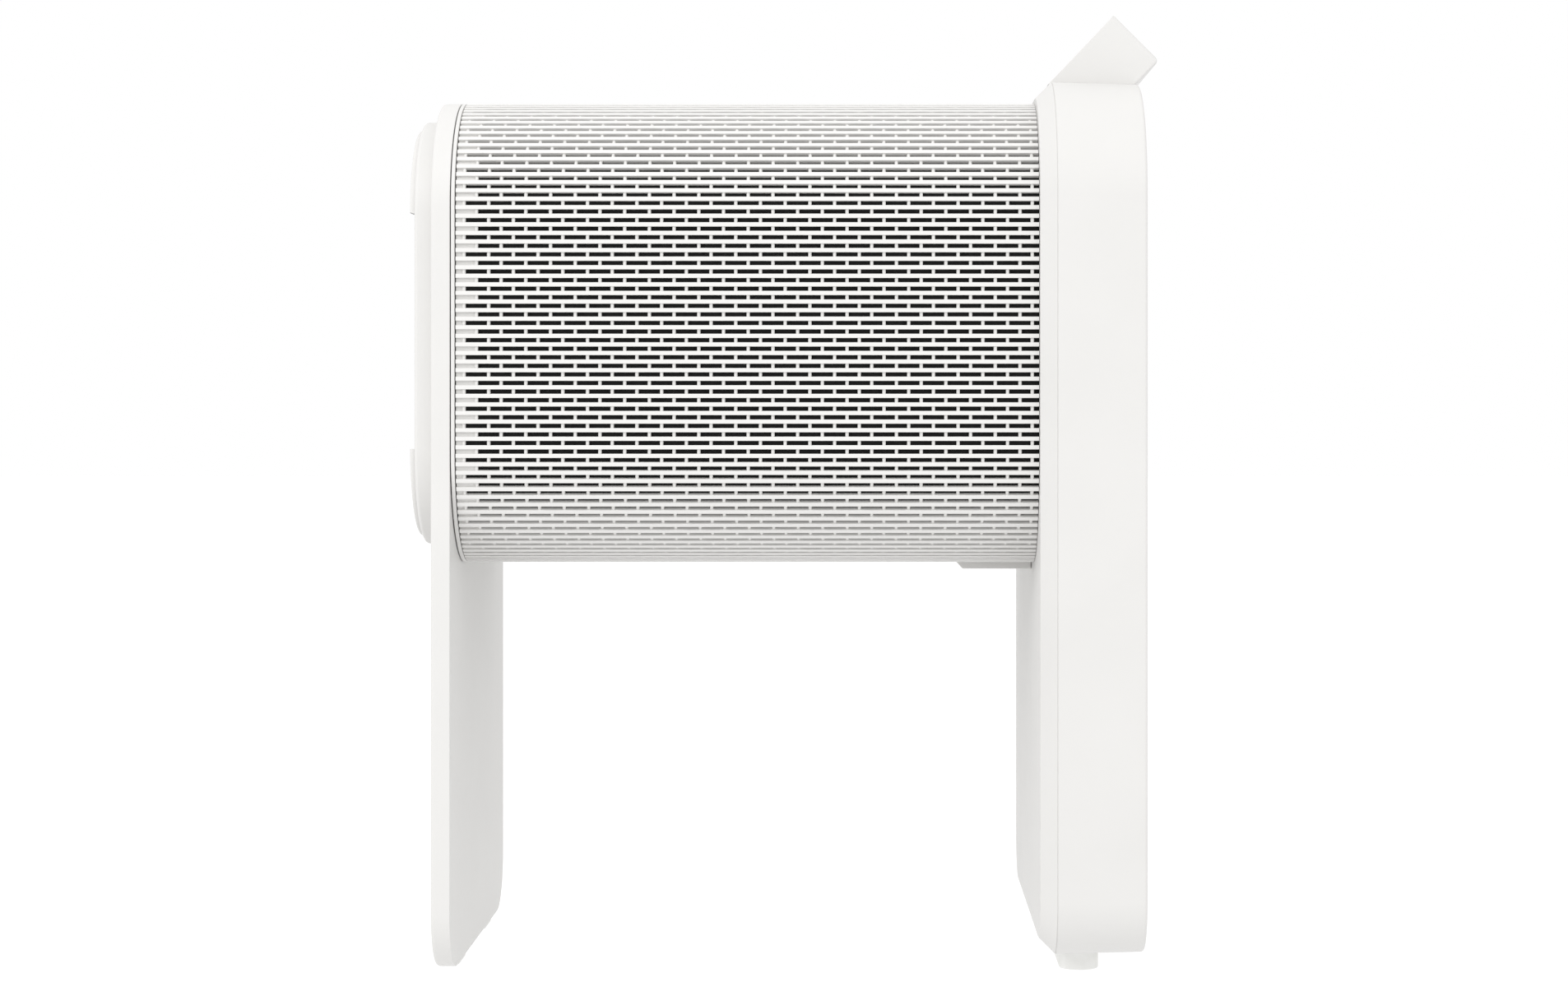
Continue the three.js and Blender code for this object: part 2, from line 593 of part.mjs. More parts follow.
// The head's face frame: x along Y, y up the slope, z out of the face.
const face = new THREE.Group();
const faceMatrix = new THREE.Matrix4().makeBasis(
  new THREE.Vector3(0, 1, 0),
  new THREE.Vector3(-Math.SQRT1_2, 0, Math.SQRT1_2),
  new THREE.Vector3(Math.SQRT1_2, 0, Math.SQRT1_2));
face.quaternion.setFromRotationMatrix(faceMatrix);
face.position.set((HEAD_APEX[0] + HEAD_TOE[0]) / 2, 0, (HEAD_APEX[1] + HEAD_TOE[1]) / 2);
purifier.add(face);

// Height of the drafted housing top at a given X, plus the clearance.
function housingTopZ(x) {
  const along = (x - HOUSING_X[0] - HOUSING_CHAMFER) / (HOUSING_X[1] - HOUSING_X[0] - HOUSING_CHAMFER);
  return HOUSING_Z[1] - HOUSING_DRAFT * Math.min(Math.max(along, 0), 1) + GAP;
}

function extrudedAlongY(points, half) {
  const shape = new THREE.Shape(points.map(([x, z]) => new THREE.Vector2(x, -z)));
  return extruded(shape, [-half, half]).rotateX(-Math.PI / 2);
}

function controlHead() {
  const [root, heel] = HEAD_ROOT_X.map((x) => [x, housingTopZ(x)]);
  const [apexX, apexZ] = HEAD_APEX;
  const [toeX, toeZ] = HEAD_TOE;
  const edge = HEAD_EDGE * Math.SQRT1_2;
  const body = extrudedAlongY([
    root, [apexX - edge, apexZ - edge], [apexX + edge, apexZ - edge],
    [toeX - edge, toeZ + edge], [toeX - edge, toeZ - edge], heel], HEAD_HALF);
  // The hollow keeps the wall thickness from the two long sides and from the face.
  const slope = (apexZ - root[1]) / (apexX - root[0]);
  const side = (HEAD_WALL * Math.hypot(1, slope)) / slope;
  const depth = FACE_WALL * Math.SQRT2;
  const hollow = extrudedAlongY([
    [root[0] + side, root[1] - 1],
    [apexX - depth / 2 + side / 2, apexZ - depth / 2 - side / 2],
    [toeX - depth / 2 - side / 2, toeZ - depth / 2 + side / 2],
    [heel[0] - side, heel[1] - 1]], HEAD_HALF - HEAD_WALL);
  const { width, height, depth: recess, ledge } = PANEL_FACE;
  const onFace = new THREE.Matrix4().compose(face.position, face.quaternion, new THREE.Vector3(1, 1, 1));
  const seat = boxBetween([-width / 2, -height / 2, -recess], [width / 2, height / 2, 2]);
  const window = boxBetween(
    [-width / 2 + ledge, -height / 2 + ledge, -FACE_WALL - 4], [width / 2 - ledge, height / 2 - ledge, 0]);
  return cut(body, hollow, seat.applyMatrix4(onFace), window.applyMatrix4(onFace));
}

function controlPanel() {
  const { width, height, depth } = PANEL_FACE;
  const back = -depth + GAP;
  const plate = boxBetween(
    [-width / 2 + GAP, -height / 2 + GAP, back], [width / 2 - GAP, height / 2 - GAP, 0]);
  const buttonHoles = BUTTON.offsets.map((u) =>
    discZ([back - 1, 1], BUTTON.radius + GAP, BUTTON_STEPS).translate(u, 0, 0));
  const lensHole = extruded(pillShape(LENS.halfWidth + GAP, LENS.halfHeight + GAP), [back - 1, 1]);
  const posts = [[-66, -8], [66, -8], [-66, 8], [66, 8]].map(([u, v]) =>
    discZ([BOARD_Z + GAP, back + 0.5], POST_RADIUS - 0.5, 8).translate(u, v, 0));
  return join(cut(plate, lensHole, ...buttonHoles), ...posts);
}

// Front surface of the display board, measured out of the face.
const BOARD_Z = -8;
const flangeTop = -PANEL_FACE.depth - GAP * 0.5;
const plungerEnd = BOARD_Z + BUTTON.travel + 0.5;
const buttonGeometry = turnedZ([
  [0, plungerEnd], [2, plungerEnd], [2, flangeTop - 1.4], [BUTTON.flange, flangeTop - 1.4],
  [BUTTON.flange, flangeTop], [BUTTON.radius, flangeTop], [BUTTON.radius, -0.5],
  [BUTTON.radius - 0.4, -0.1], [0, -0.1]], BUTTON_STEPS);

place(purifier, 'control_head', controlHead(), WHITE);
place(face, 'control_panel', controlPanel(), SOFT_WHITE);
place(face, 'display_lens', extruded(
  pillShape(LENS.halfWidth, LENS.halfHeight), [-PANEL_FACE.depth + GAP, -0.1]), SMOKED);
place(face, 'display_board', boxBetween([-70, -11.5, BOARD_Z - BOARD_THICKNESS], [70, 11.5, BOARD_Z]), CIRCUIT);
BUTTON_NAMES.forEach((name, i) => {
  place(face, `button_${name}`, buttonGeometry, WHITE).position.x = BUTTON.offsets[i];
});

// ---------------------------------------------------------------- mains inlet

const boxTopZ = AXIS_Z - BARREL_HALF - GAP;
const boxBottomZ = boxTopZ + GAP - BOX_DROP;

function mainsInletBox() {
  const [fromX, toX] = BOX_X;
  const body = extrudedAlongY([
    [fromX, boxBottomZ], [fromX - BOX_CHAMFER, boxTopZ], [toX, boxTopZ], [toX, boxBottomZ]], BOX_HALF);
  const collar = boxBetween(
    [WINDOW.x[0] + GAP, -WINDOW.half + GAP, boxTopZ - 1],
    [WINDOW.x[1] - GAP, WINDOW.half - GAP, BOX_COLLAR_TOP]);
  const hollow = boxBetween(
    [WINDOW.x[0] + GAP + BOX_WALL, -WINDOW.half + GAP + BOX_WALL, boxBottomZ + BOX_WALL],
    [WINDOW.x[1] - GAP - BOX_WALL, WINDOW.half - GAP - BOX_WALL, BOX_COLLAR_TOP + 1]);
  const socketHole = boxBetween(
    [SOCKET.x - SOCKET.halfX - GAP, -SOCKET.halfY - GAP, boxBottomZ - 1],
    [SOCKET.x + SOCKET.halfX + GAP, SOCKET.halfY + GAP, BOX_COLLAR_TOP + 1]);
  return cut(join(body, collar), hollow, socketHole);
}

function mainsInlet() {
  const faceZ = boxBottomZ + 0.5;
  const block = boxBetween(
    [SOCKET.x - SOCKET.halfX, -SOCKET.halfY, faceZ], [SOCKET.x + SOCKET.halfX, SOCKET.halfY, SOCKET.top]);
  const cavityShape = pillShape(SOCKET.pinSpacing + SOCKET_SLOT.radius, SOCKET_SLOT.radius);
  const cavity = extruded(cavityShape, [faceZ - 1, faceZ + SOCKET_SLOT.depth]);
  cavity.rotateZ(Math.PI / 2).translate(SOCKET.x, 0, 0);
  const pinHoles = [-SOCKET.pinSpacing, SOCKET.pinSpacing].map((y) =>
    discZ([faceZ, SOCKET.top + 1], SOCKET.pinRadius + GAP, 10).translate(SOCKET.x, y, 0));
  return cut(block, cavity, ...pinHoles);
}

place(purifier, 'mains_inlet_box', mainsInletBox(), WHITE);
place(purifier, 'mains_inlet', mainsInlet(), DARK_PLASTIC);
[-1, 1].forEach((side, i) => {
  const pin = place(purifier, `mains_pin_${i + 1}`,
    discZ([boxBottomZ + 3, SOCKET.top + 4], SOCKET.pinRadius, 10), BRASS);
  pin.position.set(SOCKET.x, side * SOCKET.pinSpacing, 0);
});

export default purifier;
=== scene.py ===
import json
import math

import bmesh
import bpy
from mathutils import Matrix, Vector


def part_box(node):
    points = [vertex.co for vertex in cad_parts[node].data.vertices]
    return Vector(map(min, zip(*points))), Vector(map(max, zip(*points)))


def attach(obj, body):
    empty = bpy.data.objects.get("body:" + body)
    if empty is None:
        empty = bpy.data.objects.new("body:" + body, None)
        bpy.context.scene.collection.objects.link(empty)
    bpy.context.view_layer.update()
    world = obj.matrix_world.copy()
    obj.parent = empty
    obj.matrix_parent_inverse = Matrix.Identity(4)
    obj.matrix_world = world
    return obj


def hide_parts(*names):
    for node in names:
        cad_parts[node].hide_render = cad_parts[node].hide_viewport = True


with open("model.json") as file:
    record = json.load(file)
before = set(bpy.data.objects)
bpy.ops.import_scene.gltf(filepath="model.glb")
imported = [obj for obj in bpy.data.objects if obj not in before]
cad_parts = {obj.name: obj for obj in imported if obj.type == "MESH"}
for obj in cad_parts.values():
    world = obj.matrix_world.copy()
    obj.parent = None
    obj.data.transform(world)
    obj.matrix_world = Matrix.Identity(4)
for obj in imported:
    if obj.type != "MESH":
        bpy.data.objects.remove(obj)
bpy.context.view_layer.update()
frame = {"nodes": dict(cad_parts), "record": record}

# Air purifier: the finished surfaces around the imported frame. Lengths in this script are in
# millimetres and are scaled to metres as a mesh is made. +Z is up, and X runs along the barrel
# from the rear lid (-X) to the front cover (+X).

MM = 0.001


def span(node):
    """Lowest and highest corner of a frame node, in millimetres."""
    low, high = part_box(node)
    return Vector(low) / MM, Vector(high) / MM


# ---------------------------------------------------------------- sizes

GAP = 0.3
CORNER_STEPS = 24
EDGE_STEPS = 5
ROUND_STEPS = 96

sleeve_low, sleeve_high = span("barrel_sleeve")
AXIS_Z = (sleeve_low.z + sleeve_high.z) / 2
BARREL_HALF = sleeve_high.y
BARREL_RADIUS = 62.6

# Sleeve: long ribs with rows of short slots between them, each row half a pitch from the next.
SLEEVE_WALL = 3.5
ROW_COUNT = 198
ROW_SHIFT = 0.7
GROOVE = 2.4
RIB_EDGE = 0.25
SLOT_PITCH = 13.53
BRIDGE = 1.8
BRIDGE_DEPTH = 1.0
BRIDGE_EDGE = 0.45
FIRST_SLOT = (12.12, 5.3)
POCKET_DEPTH = 2.1
INLET_WINDOW_X = (103.7, 129.8)
INLET_WINDOW_HALF = 40.3

PANEL_FOOT_RADIUS = 32.4
PANEL_EDGE = 2.2
SERVICE_RADIUS = 110.5
ROD_OFFSET = 92.0

LID_RADIUS = 54.0
LID_EDGE = 2.2
LID_WALL = 2.5
PAD_INSET = 4.5
PAD_FROM = 65.0

HOUSING_TOP_RADIUS = 67.5
HOUSING_FOOT_RADIUS = 32.4
HOUSING_CHAMFER = 9.0
HOUSING_DRAFT = 1.1
HOUSING_WALL = 3.0
SEAM = 0.25
GRILLE_RADIUS = 50.0
GRILLE_RIM = 7.0
EYE_RADIUS = 62.0
VENT_COUNT = 5
VENT_PITCH = 4.4
VENT_HALF = (9.0, 0.8)
VENT_RISE = 4.8

BUTTONS = ("power", "fan_speed", "mode", "timer")

# Studio: strength of the surround at the horizon and overhead, then the floor and the lamps.
WORLD_LIGHT = (1.0, 1.2)
FLOOR_GLOW = 1.0
KEY_WATTS = 34.0
FILL_WATTS = 3.0

COS45 = math.sqrt(0.5)


# ---------------------------------------------------------------- shape helpers

def rounded(points, radii, steps=EDGE_STEPS, closed=True):
    """The polyline through 2-D points with each corner rounded to its radius."""
    result = []
    count = len(points)
    for i, radius in enumerate(radii):
        point = Vector(points[i])
        if radius <= 0 or (not closed and i in (0, count - 1)):
            result.append(point)
            continue
        before = (Vector(points[i - 1]) - point).normalized()
        after = (Vector(points[(i + 1) % count]) - point).normalized()
        half = before.angle(after) / 2
        centre = point + (before + after).normalized() * (radius / math.sin(half))
        start = point + before * (radius / math.tan(half)) - centre
        sweep = start.angle_signed(point + after * (radius / math.tan(half)) - centre)
        for step in range(steps + 1):
            turn = Matrix.Rotation(-sweep * step / steps, 2)
            result.append(centre + turn @ start)
    return result


def upright(half, low, high, top_radius, foot_radius, inset=0.0):
    """Outline (y, z) of an upright board with round corners, set in by inset."""
    top, foot = max(top_radius - inset, 0.2), max(foot_radius - inset, 0.2)
    y, z0, z1 = half - inset, low + inset, high - inset
    corners = [(y, z0), (y, z1), (-y, z1), (-y, z0)]
    return rounded(corners, [foot, top, top, foot], CORNER_STEPS)


def square(half, radius, inset=0.0):
    """Outline of a round-cornered square about the barrel axis."""
    return upright(half, AXIS_Z - half, AXIS_Z + half, radius, radius, inset)


def along_x(outline, x):
    return [(x, y, z) for y, z in outline]


def circle_ring(x, radius):
    """A circle about the barrel axis with as many points as an outline has."""
    ring = []
    for corner in range(4):
        for step in range(CORNER_STEPS + 1):
            angle = (corner - 1 + step / CORNER_STEPS) * math.pi / 2
            ring.append((x, radius * math.cos(angle), AXIS_Z + radius * math.sin(angle)))
    return ring


def skin(rings, closed=False):
    """A closed body through rings of equally many points, capped unless the chain closes."""
    body = bmesh.new()
    rows = [[body.verts.new(point) for point in ring] for ring in rings]
    pairs = list(zip(rows, rows[1:]))
    if closed:
        pairs.append((rows[-1], rows[0]))
    for first, second in pairs:
        for i in range(len(first)):
            j = (i + 1) % len(first)
            body.faces.new((first[i], first[j], second[j], second[i]))
    if not closed:
        body.faces.new(rows[0])
        body.faces.new(rows[-1])
    return clean(body)


def clean(body):
    bmesh.ops.remove_doubles(body, verts=body.verts, dist=1e-4)
    bmesh.ops.dissolve_degenerate(body, edges=body.edges, dist=1e-5)
    bmesh.ops.recalc_face_normals(body, faces=body.faces)
    return body


def turned(profile, centre=(0, 0), axis="X", steps=ROUND_STEPS, closed=False):
    """A body turned about X through (y, z), or about Z through (x, y), from (along, radius)."""
    rings = []
    for along, radius in profile:
        ring = []
        for step in range(steps):
            angle = 2 * math.pi * step / steps
            a = centre[0] + max(radius, 1e-3) * math.cos(angle)
            b = centre[1] + max(radius, 1e-3) * math.sin(angle)
            ring.append((along, a, b) if axis == "X" else (a, b, along))
        rings.append(ring)
    return skin(rings, closed)


def set_in(points, inset):
    """A closed outline moved inwards by inset."""
    area = sum(p[0] * q[1] - q[0] * p[1] for p, q in zip(points, [*points[1:], points[0]]))
    sign = 1 if area > 0 else -1
    result = []
    for i, point in enumerate(points):
        point = Vector(point)
        before = (point - Vector(points[i - 1])).normalized()
        after = (Vector(points[(i + 1) % len(points)]) - point).normalized()
        outwards = sign * Vector((before.y + after.y, -before.x - after.x)).normalized()
        spread = max(outwards.dot(sign * Vector((after.y, -after.x))), 0.3)
        result.append(point - outwards * (inset / spread))
    return result


def prism(points, low, high, edges=(0.0, 0.0), steps=EDGE_STEPS):
    """A 2-D outline raised from low to high along Z, with its bottom and top edges rounded."""
    bottom, top = edges
    far = -20.0
    profile = rounded([(far, low), (0, low), (0, high), (far, high)], [0, bottom, top, 0], steps, False)
    rings = [[(*point, z) for point in set_in(points, -across)] for across, z in profile[1:-1]]
    return skin(rings)


def pill(half_length, half_width, steps=16):
    """Outline with half-round ends, long along its first axis."""
    straight = half_length - half_width
    points = []
    for side in (0, 1):
        for step in range(steps + 1):
            angle = -math.pi / 2 + side * math.pi + math.pi * step / steps
            shift = straight if side == 0 else -straight
            points.append((shift + half_width * math.cos(angle), half_width * math.sin(angle)))
    return points


def rectangle(half_a, half_b, radius, steps=6):
    corners = [(half_a, -half_b), (half_a, half_b), (-half_a, half_b), (-half_a, -half_b)]
    return rounded(corners, [radius] * 4, steps)


def block(low, high, edge=0.4, steps=3):
    """A box with rounded edges."""
    body = bmesh.new()
    bmesh.ops.create_cube(body, size=1.0)
    size = Vector(high) - Vector(low)
    centre = (Vector(high) + Vector(low)) / 2
    for vertex in body.verts:
        vertex.co = Vector(vertex.co[i] * size[i] for i in range(3)) + centre
    bmesh.ops.bevel(body, geom=body.edges, offset=edge, segments=steps, profile=0.5,
                    affect="EDGES", clamp_overlap=True)
    return clean(body)


def moved(body, matrix):
    bmesh.ops.transform(body, matrix=matrix, verts=body.verts)
    return body


def shifted(body, x=0.0, y=0.0, z=0.0):
    return moved(body, Matrix.Translation((x, y, z)))


def together(*bodies):
    """Several closed bodies as one mesh."""
    whole = bodies[0]
    for body in bodies[1:]:
        data = bpy.data.meshes.new("part")
        body.to_mesh(data)
        body.free()
        whole.from_mesh(data)
        bpy.data.meshes.remove(data)
    return whole


def scratch_object(body, name):
    data = bpy.data.meshes.new(name)
    body.to_mesh(data)
    body.free()
    made = bpy.data.objects.new(name, data)
    bpy.context.scene.collection.objects.link(made)
    return made


def applied(target):
    """The mesh of an object with its modifiers applied, as a body; the object is removed."""
    graph = bpy.context.evaluated_depsgraph_get()
    data = bpy.data.meshes.new_from_object(target.evaluated_get(graph))
    body = bmesh.new()
    body.from_mesh(data)
    old = target.data
    bpy.data.objects.remove(target)
    bpy.data.meshes.remove(old)
    bpy.data.meshes.remove(data)
    return body


def carved(body, *tools, join=False, solver="MANIFOLD"):
    """The body with the tools cut out of it, or joined to it."""
    bmesh.ops.triangulate(body, faces=[f for f in body.faces if len(f.verts) > 4])
    target = scratch_object(body, "target")
    tool = scratch_object(together(*tools), "tool")
    modifier = target.modifiers.new("carve", "BOOLEAN")
    modifier.operation = "UNION" if join else "DIFFERENCE"
    modifier.solver = solver
    modifier.object = tool
    result = applied(target)
    data = tool.data
    bpy.data.objects.remove(tool)
    bpy.data.meshes.remove(data)
    bmesh.ops.remove_doubles(result, verts=result.verts, dist=1e-4)
    bmesh.ops.dissolve_limit(
        result, angle_limit=math.radians(0.05), verts=result.verts, edges=result.edges)
    bmesh.ops.triangulate(result, faces=[f for f in result.faces if len(f.verts) > 4])
    return result


# ---------------------------------------------------------------- materials

def linear(red, green, blue):
    """An sRGB colour from 0 to 255 as the linear colour that a shader takes."""
    parts = [channel / 255 for channel in (red, green, blue)]
    return [c / 12.92 if c <= 0.04045 else ((c + 0.055) / 1.055) ** 2.4 for c in parts] + [1.0]


class Finish:
    """A Principled material whose detail is built from nodes in object coordinates."""

    def __init__(self, name, colour, roughness, **sockets):
        self.material = bpy.data.materials.new(name)
        self.material.use_nodes = True
        self.tree = self.material.node_tree
        self.shader = self.tree.nodes["Principled BSDF"]
        self.shader.inputs["Base Color"].default_value = linear(*colour)
        self.shader.inputs["Roughness"].default_value = roughness
        for socket, value in sockets.items():
            self.shader.inputs[socket.replace("_", " ")].default_value = value
        self.place = self.tree.nodes.new("ShaderNodeTexCoord").outputs["Object"]
        self.height = None

    def add(self, kind, links=(), **settings):
        node = self.tree.nodes.new("ShaderNode" + kind)
        for key, value in settings.items():
            if key in node.inputs:
                node.inputs[key].default_value = value
            else:
                setattr(node, key, value)
        for socket, source in dict(links).items():
            self.tree.links.new(source, node.inputs[socket])
        return node

    def noise(self, per_mm, detail=2.0, stretch=(1, 1, 1)):
        scaled = self.add("Mapping", {"Vector": self.place}, Scale=[s / MM for s in stretch])
        links = {"Vector": scaled.outputs["Vector"]}
        return self.add("TexNoise", links, Scale=per_mm, Detail=detail).outputs["Fac"]

    def waves(self, per_mm, direction, shape="SIN"):
        scaled = self.add("Mapping", {"Vector": self.place}, Scale=[1 / MM] * 3)
        links = {"Vector": scaled.outputs["Vector"]}
        node = self.add("TexWave", links, bands_direction=direction, wave_profile=shape)
        node.inputs["Scale"].default_value = per_mm * 0.05 * 2 * math.pi
        return node.outputs["Fac"]

    def spread(self, source, low, high, socket):
        node = self.add("MapRange", {"Value": source})
        node.inputs["To Min"].default_value = low
        node.inputs["To Max"].default_value = high
        self.tree.links.new(node.outputs["Result"], self.shader.inputs[socket])

    def tint(self, source, first, second, edges=(0.3, 0.7)):
        ramp = self.add("ValToRGB", {"Fac": source})
        for element, colour, place in zip(ramp.color_ramp.elements, (first, second), edges):
            element.color = linear(*colour)
            element.position = place
        self.tree.links.new(ramp.outputs["Color"], self.shader.inputs["Base Color"])

    def bump(self, source, millimetres, strength=1.0):
        links = {"Height": source}
        if self.height is not None:
            links["Normal"] = self.height
        node = self.add("Bump", links, Strength=strength, Distance=millimetres * MM)
        self.height = node.outputs["Normal"]
        self.tree.links.new(self.height, self.shader.inputs["Normal"])


def moulded(name, colour, roughness, grain=0.012, drift=2):
    """Moulded plastic: a fine spark-eroded grain, and a very slight drift of tone and gloss."""
    finish = Finish(name, colour, roughness, IOR=1.46)
    shade = tuple(max(channel - drift, 0) for channel in colour)
    finish.tint(finish.noise(0.02, 3), shade, colour)
    finish.spread(finish.noise(0.35, 4), roughness - 0.05, roughness + 0.05, "Roughness")
    finish.bump(finish.noise(3.2, 3), grain)
    finish.bump(finish.noise(0.045, 1), 0.05)
    return finish.material


def white_shell():
    return moulded("white_shell", (214, 213, 211), 0.5)


# Painted highlight: the shell's white made a little lighter on the sleeve, standing in for the light on the
# rib tops and in the shaded grooves.
def painted_highlight_sleeve_white():
    return moulded("painted_highlight_sleeve_white", (220, 219, 217), 0.5)


def soft_white():
    return moulded("soft_white", (214, 213, 211), 0.58, grain=0.018)


def button_white():
    return moulded("button_white", (211, 210, 208), 0.45, grain=0.008)


def black_mesh():
    """Woven nylon prefilter: crossing threads half a millimetre apart."""
    finish = Finish("black_mesh", (10, 10, 10), 0.8)
    warp = finish.waves(2.0, "X")
    weft = finish.waves(2.0, "DIAGONAL")
    crossed = finish.add("Math", {0: warp, 1: weft}, operation="MULTIPLY").outputs["Value"]
    finish.tint(crossed, (5, 5, 5), (22, 22, 22), (0.1, 0.9))
    finish.bump(crossed, 0.15)
    return finish.material


def dark_plastic():
    return moulded("dark_plastic", (34, 35, 37), 0.5, grain=0.02, drift=6)


def light_rubber():
    finish = Finish("light_rubber", (232, 232, 230), 0.82, IOR=1.5)
    finish.tint(finish.noise(0.08, 4), (226, 226, 223), (234, 234, 232))
    finish.bump(finish.noise(1.6, 4), 0.03)
    return finish.material


def filter_paper():
    """Pleated melt-blown paper: short matted fibres."""
    finish = Finish("filter_paper", (240, 237, 228), 0.95, Specular_IOR_Level=0.2)
    fibres = finish.noise(0.9, 8, (0.35, 1, 1))
    finish.tint(fibres, (226, 222, 210), (246, 244, 237))
    finish.bump(fibres, 0.12)
    return finish.material


def carbon():
    finish = Finish("carbon", (22, 22, 23), 0.9)
    grains = finish.add("TexVoronoi", {"Vector": finish.place}, Scale=900.0).outputs["Distance"]
    finish.tint(grains, (34, 34, 35), (9, 9, 9), (0.05, 0.6))
    finish.bump(grains, 0.4)
    return finish.material


def foam():
    finish = Finish("foam", (52, 52, 54), 0.95)
    cells = finish.add("TexVoronoi", {"Vector": finish.place}, Scale=1400.0).outputs["Distance"]
    finish.tint(cells, (30, 30, 31), (66, 66, 68), (0.1, 0.6))
    finish.bump(cells, 0.35)
    return finish.material


def steel():
    """Bright zinc plate with faint rolling lines."""
    finish = Finish("steel", (196, 199, 203), 0.32, Metallic=1.0)
    finish.tint(finish.noise(0.3, 4), (182, 185, 190), (206, 208, 211))
    finish.spread(finish.noise(0.6, 3, (1, 6, 6)), 0.24, 0.42, "Roughness")
    finish.bump(finish.noise(2.0, 2), 0.006)
    return finish.material


def brass():
    finish = Finish("brass", (214, 178, 104), 0.28, Metallic=1.0)
    finish.tint(finish.noise(0.7, 3), (203, 166, 92), (222, 188, 116))
    finish.spread(finish.noise(1.5, 3), 0.2, 0.36, "Roughness")
    return finish.material


def circuit_board():
    """Green solder mask over faint copper tracks."""
    finish = Finish("circuit_board", (24, 84, 56), 0.38)
    tracks = finish.add("TexBrick", {"Vector": finish.place}, Scale=260.0).outputs["Fac"]
    finish.tint(tracks, (22, 80, 52), (34, 104, 70))
    finish.bump(tracks, 0.03)
    return finish.material


def smoked_lens():
    finish = Finish("smoked_lens", (16, 17, 19), 0.1, IOR=1.49, Coat_Weight=0.6, Coat_Roughness=0.05)
    finish.tint(finish.noise(0.05, 2), (13, 14, 16), (21, 22, 25))
    finish.spread(finish.noise(0.4, 4), 0.06, 0.14, "Roughness")
    return finish.material


def printed_grey():
    """The grey of the symbols that are moulded into the buttons."""
    finish = Finish("printed_grey", (128, 130, 132), 0.5)
    finish.tint(finish.noise(0.5, 3), (120, 122, 124), (136, 138, 140))
    finish.bump(finish.noise(3.0, 2), 0.008)
    return finish.material


FINISHES = {
    make.__name__: make() for make in (
        white_shell, painted_highlight_sleeve_white, soft_white, button_white, black_mesh, dark_plastic,
        light_rubber, filter_paper, carbon, foam, steel, brass, circuit_board, smoked_lens, printed_grey)
}


def finish_cad_nodes():
    """Every frame node that stays in view gets its slot's procedural material."""
    for part in frame["record"]["subparts"]:
        data = frame["nodes"][part["node"]].data
        data.materials.clear()
        data.materials.append(FINISHES[part["material_slot"]])


# ---------------------------------------------------------------- placing pieces

def piece(name, body, rides, slot, replaces=(), finish=None, sharp=32.0, settle=True):
    """A finished piece: smooth-shaded with sharp creases, riding on its body."""
    data = bpy.data.meshes.new(name)
    moved(body, Matrix.Scale(MM, 4))
    body.to_mesh(data)
    body.free()
    data.shade_smooth()
    data.set_sharp_from_angle(angle=math.radians(sharp))
    data.materials.append(FINISHES[finish or slot])
    made = bpy.data.objects.new(name, data)
    bpy.context.scene.collection.objects.link(made)
    if settle:
        normals = made.modifiers.new("flat faces", "WEIGHTED_NORMAL")
        normals.keep_sharp = True
    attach(made, rides)
    if replaces:
        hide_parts(*replaces)
    return made


# ---------------------------------------------------------------- barrel sleeve

def section_point(along, depth):
    """The (y, z) point at a distance round the barrel section, at a depth under its surface.

    The distance starts at mid-height on the near side (-Y) and runs upwards.
    """
    flat = 2 * (BARREL_HALF - BARREL_RADIUS)
    arc = BARREL_RADIUS * math.pi / 2
    side, rest = divmod(along + flat / 2, flat + arc)
    if rest <= flat:
        lift, angle = rest - flat / 2, 0.0
    else:
        lift, angle = flat / 2, (rest - flat) / BARREL_RADIUS
    reach = BARREL_RADIUS - depth
    y = -(BARREL_HALF - BARREL_RADIUS) - reach * math.cos(angle)
    z = lift + reach * math.sin(angle)
    turn = Matrix.Rotation(-side * math.pi / 2, 2) @ Vector((y, z))
    return turn.x, AXIS_Z + turn.y


def bridge(left, foot_depth):
    """Profile (x, depth) of one bridge with chamfered edges, from its left foot to its right."""
    right = left + BRIDGE
    deep = BRIDGE_DEPTH + BRIDGE_EDGE
    return [
        (left, foot_depth), (left, deep), (left + BRIDGE_EDGE, BRIDGE_DEPTH),
        (right - BRIDGE_EDGE, BRIDGE_DEPTH), (right, deep), (right, SLEEVE_WALL)]


def bridge_profiles(first_slot, start, end):
    """Profiles of the solid stretches of a row: a pocket floor at the rear end, then bridges."""
    first_bridge = start + first_slot - BRIDGE
    profiles = [[(start, SLEEVE_WALL), (start, POCKET_DEPTH), *bridge(first_bridge, POCKET_DEPTH)]]
    left = first_bridge + SLOT_PITCH
    while left + BRIDGE < end:
        profiles.append(bridge(left, SLEEVE_WALL))
        left += SLOT_PITCH
    return [[(round(x, 3), depth) for x, depth in profile] for profile in profiles]


def clipped(profiles, low, high):
    """The profiles that reach in between two places along the row, cut off there."""
    inside = [p for p in profiles if p[-1][0] > low and p[0][0] < high]
    return [list(dict.fromkeys((min(max(x, low), high), depth) for x, depth in p)) for p in inside]


def wall_path(solids, low, high):
    """The foot of a groove wall from one end to the other: over each solid, and along each slot."""
    points = [point for profile in solids for point in profile]
    if not points or points[0][0] > low:
        points.insert(0, (low, SLEEVE_WALL))
    if points[-1][0] < high:
        points.append((high, SLEEVE_WALL))
    return points


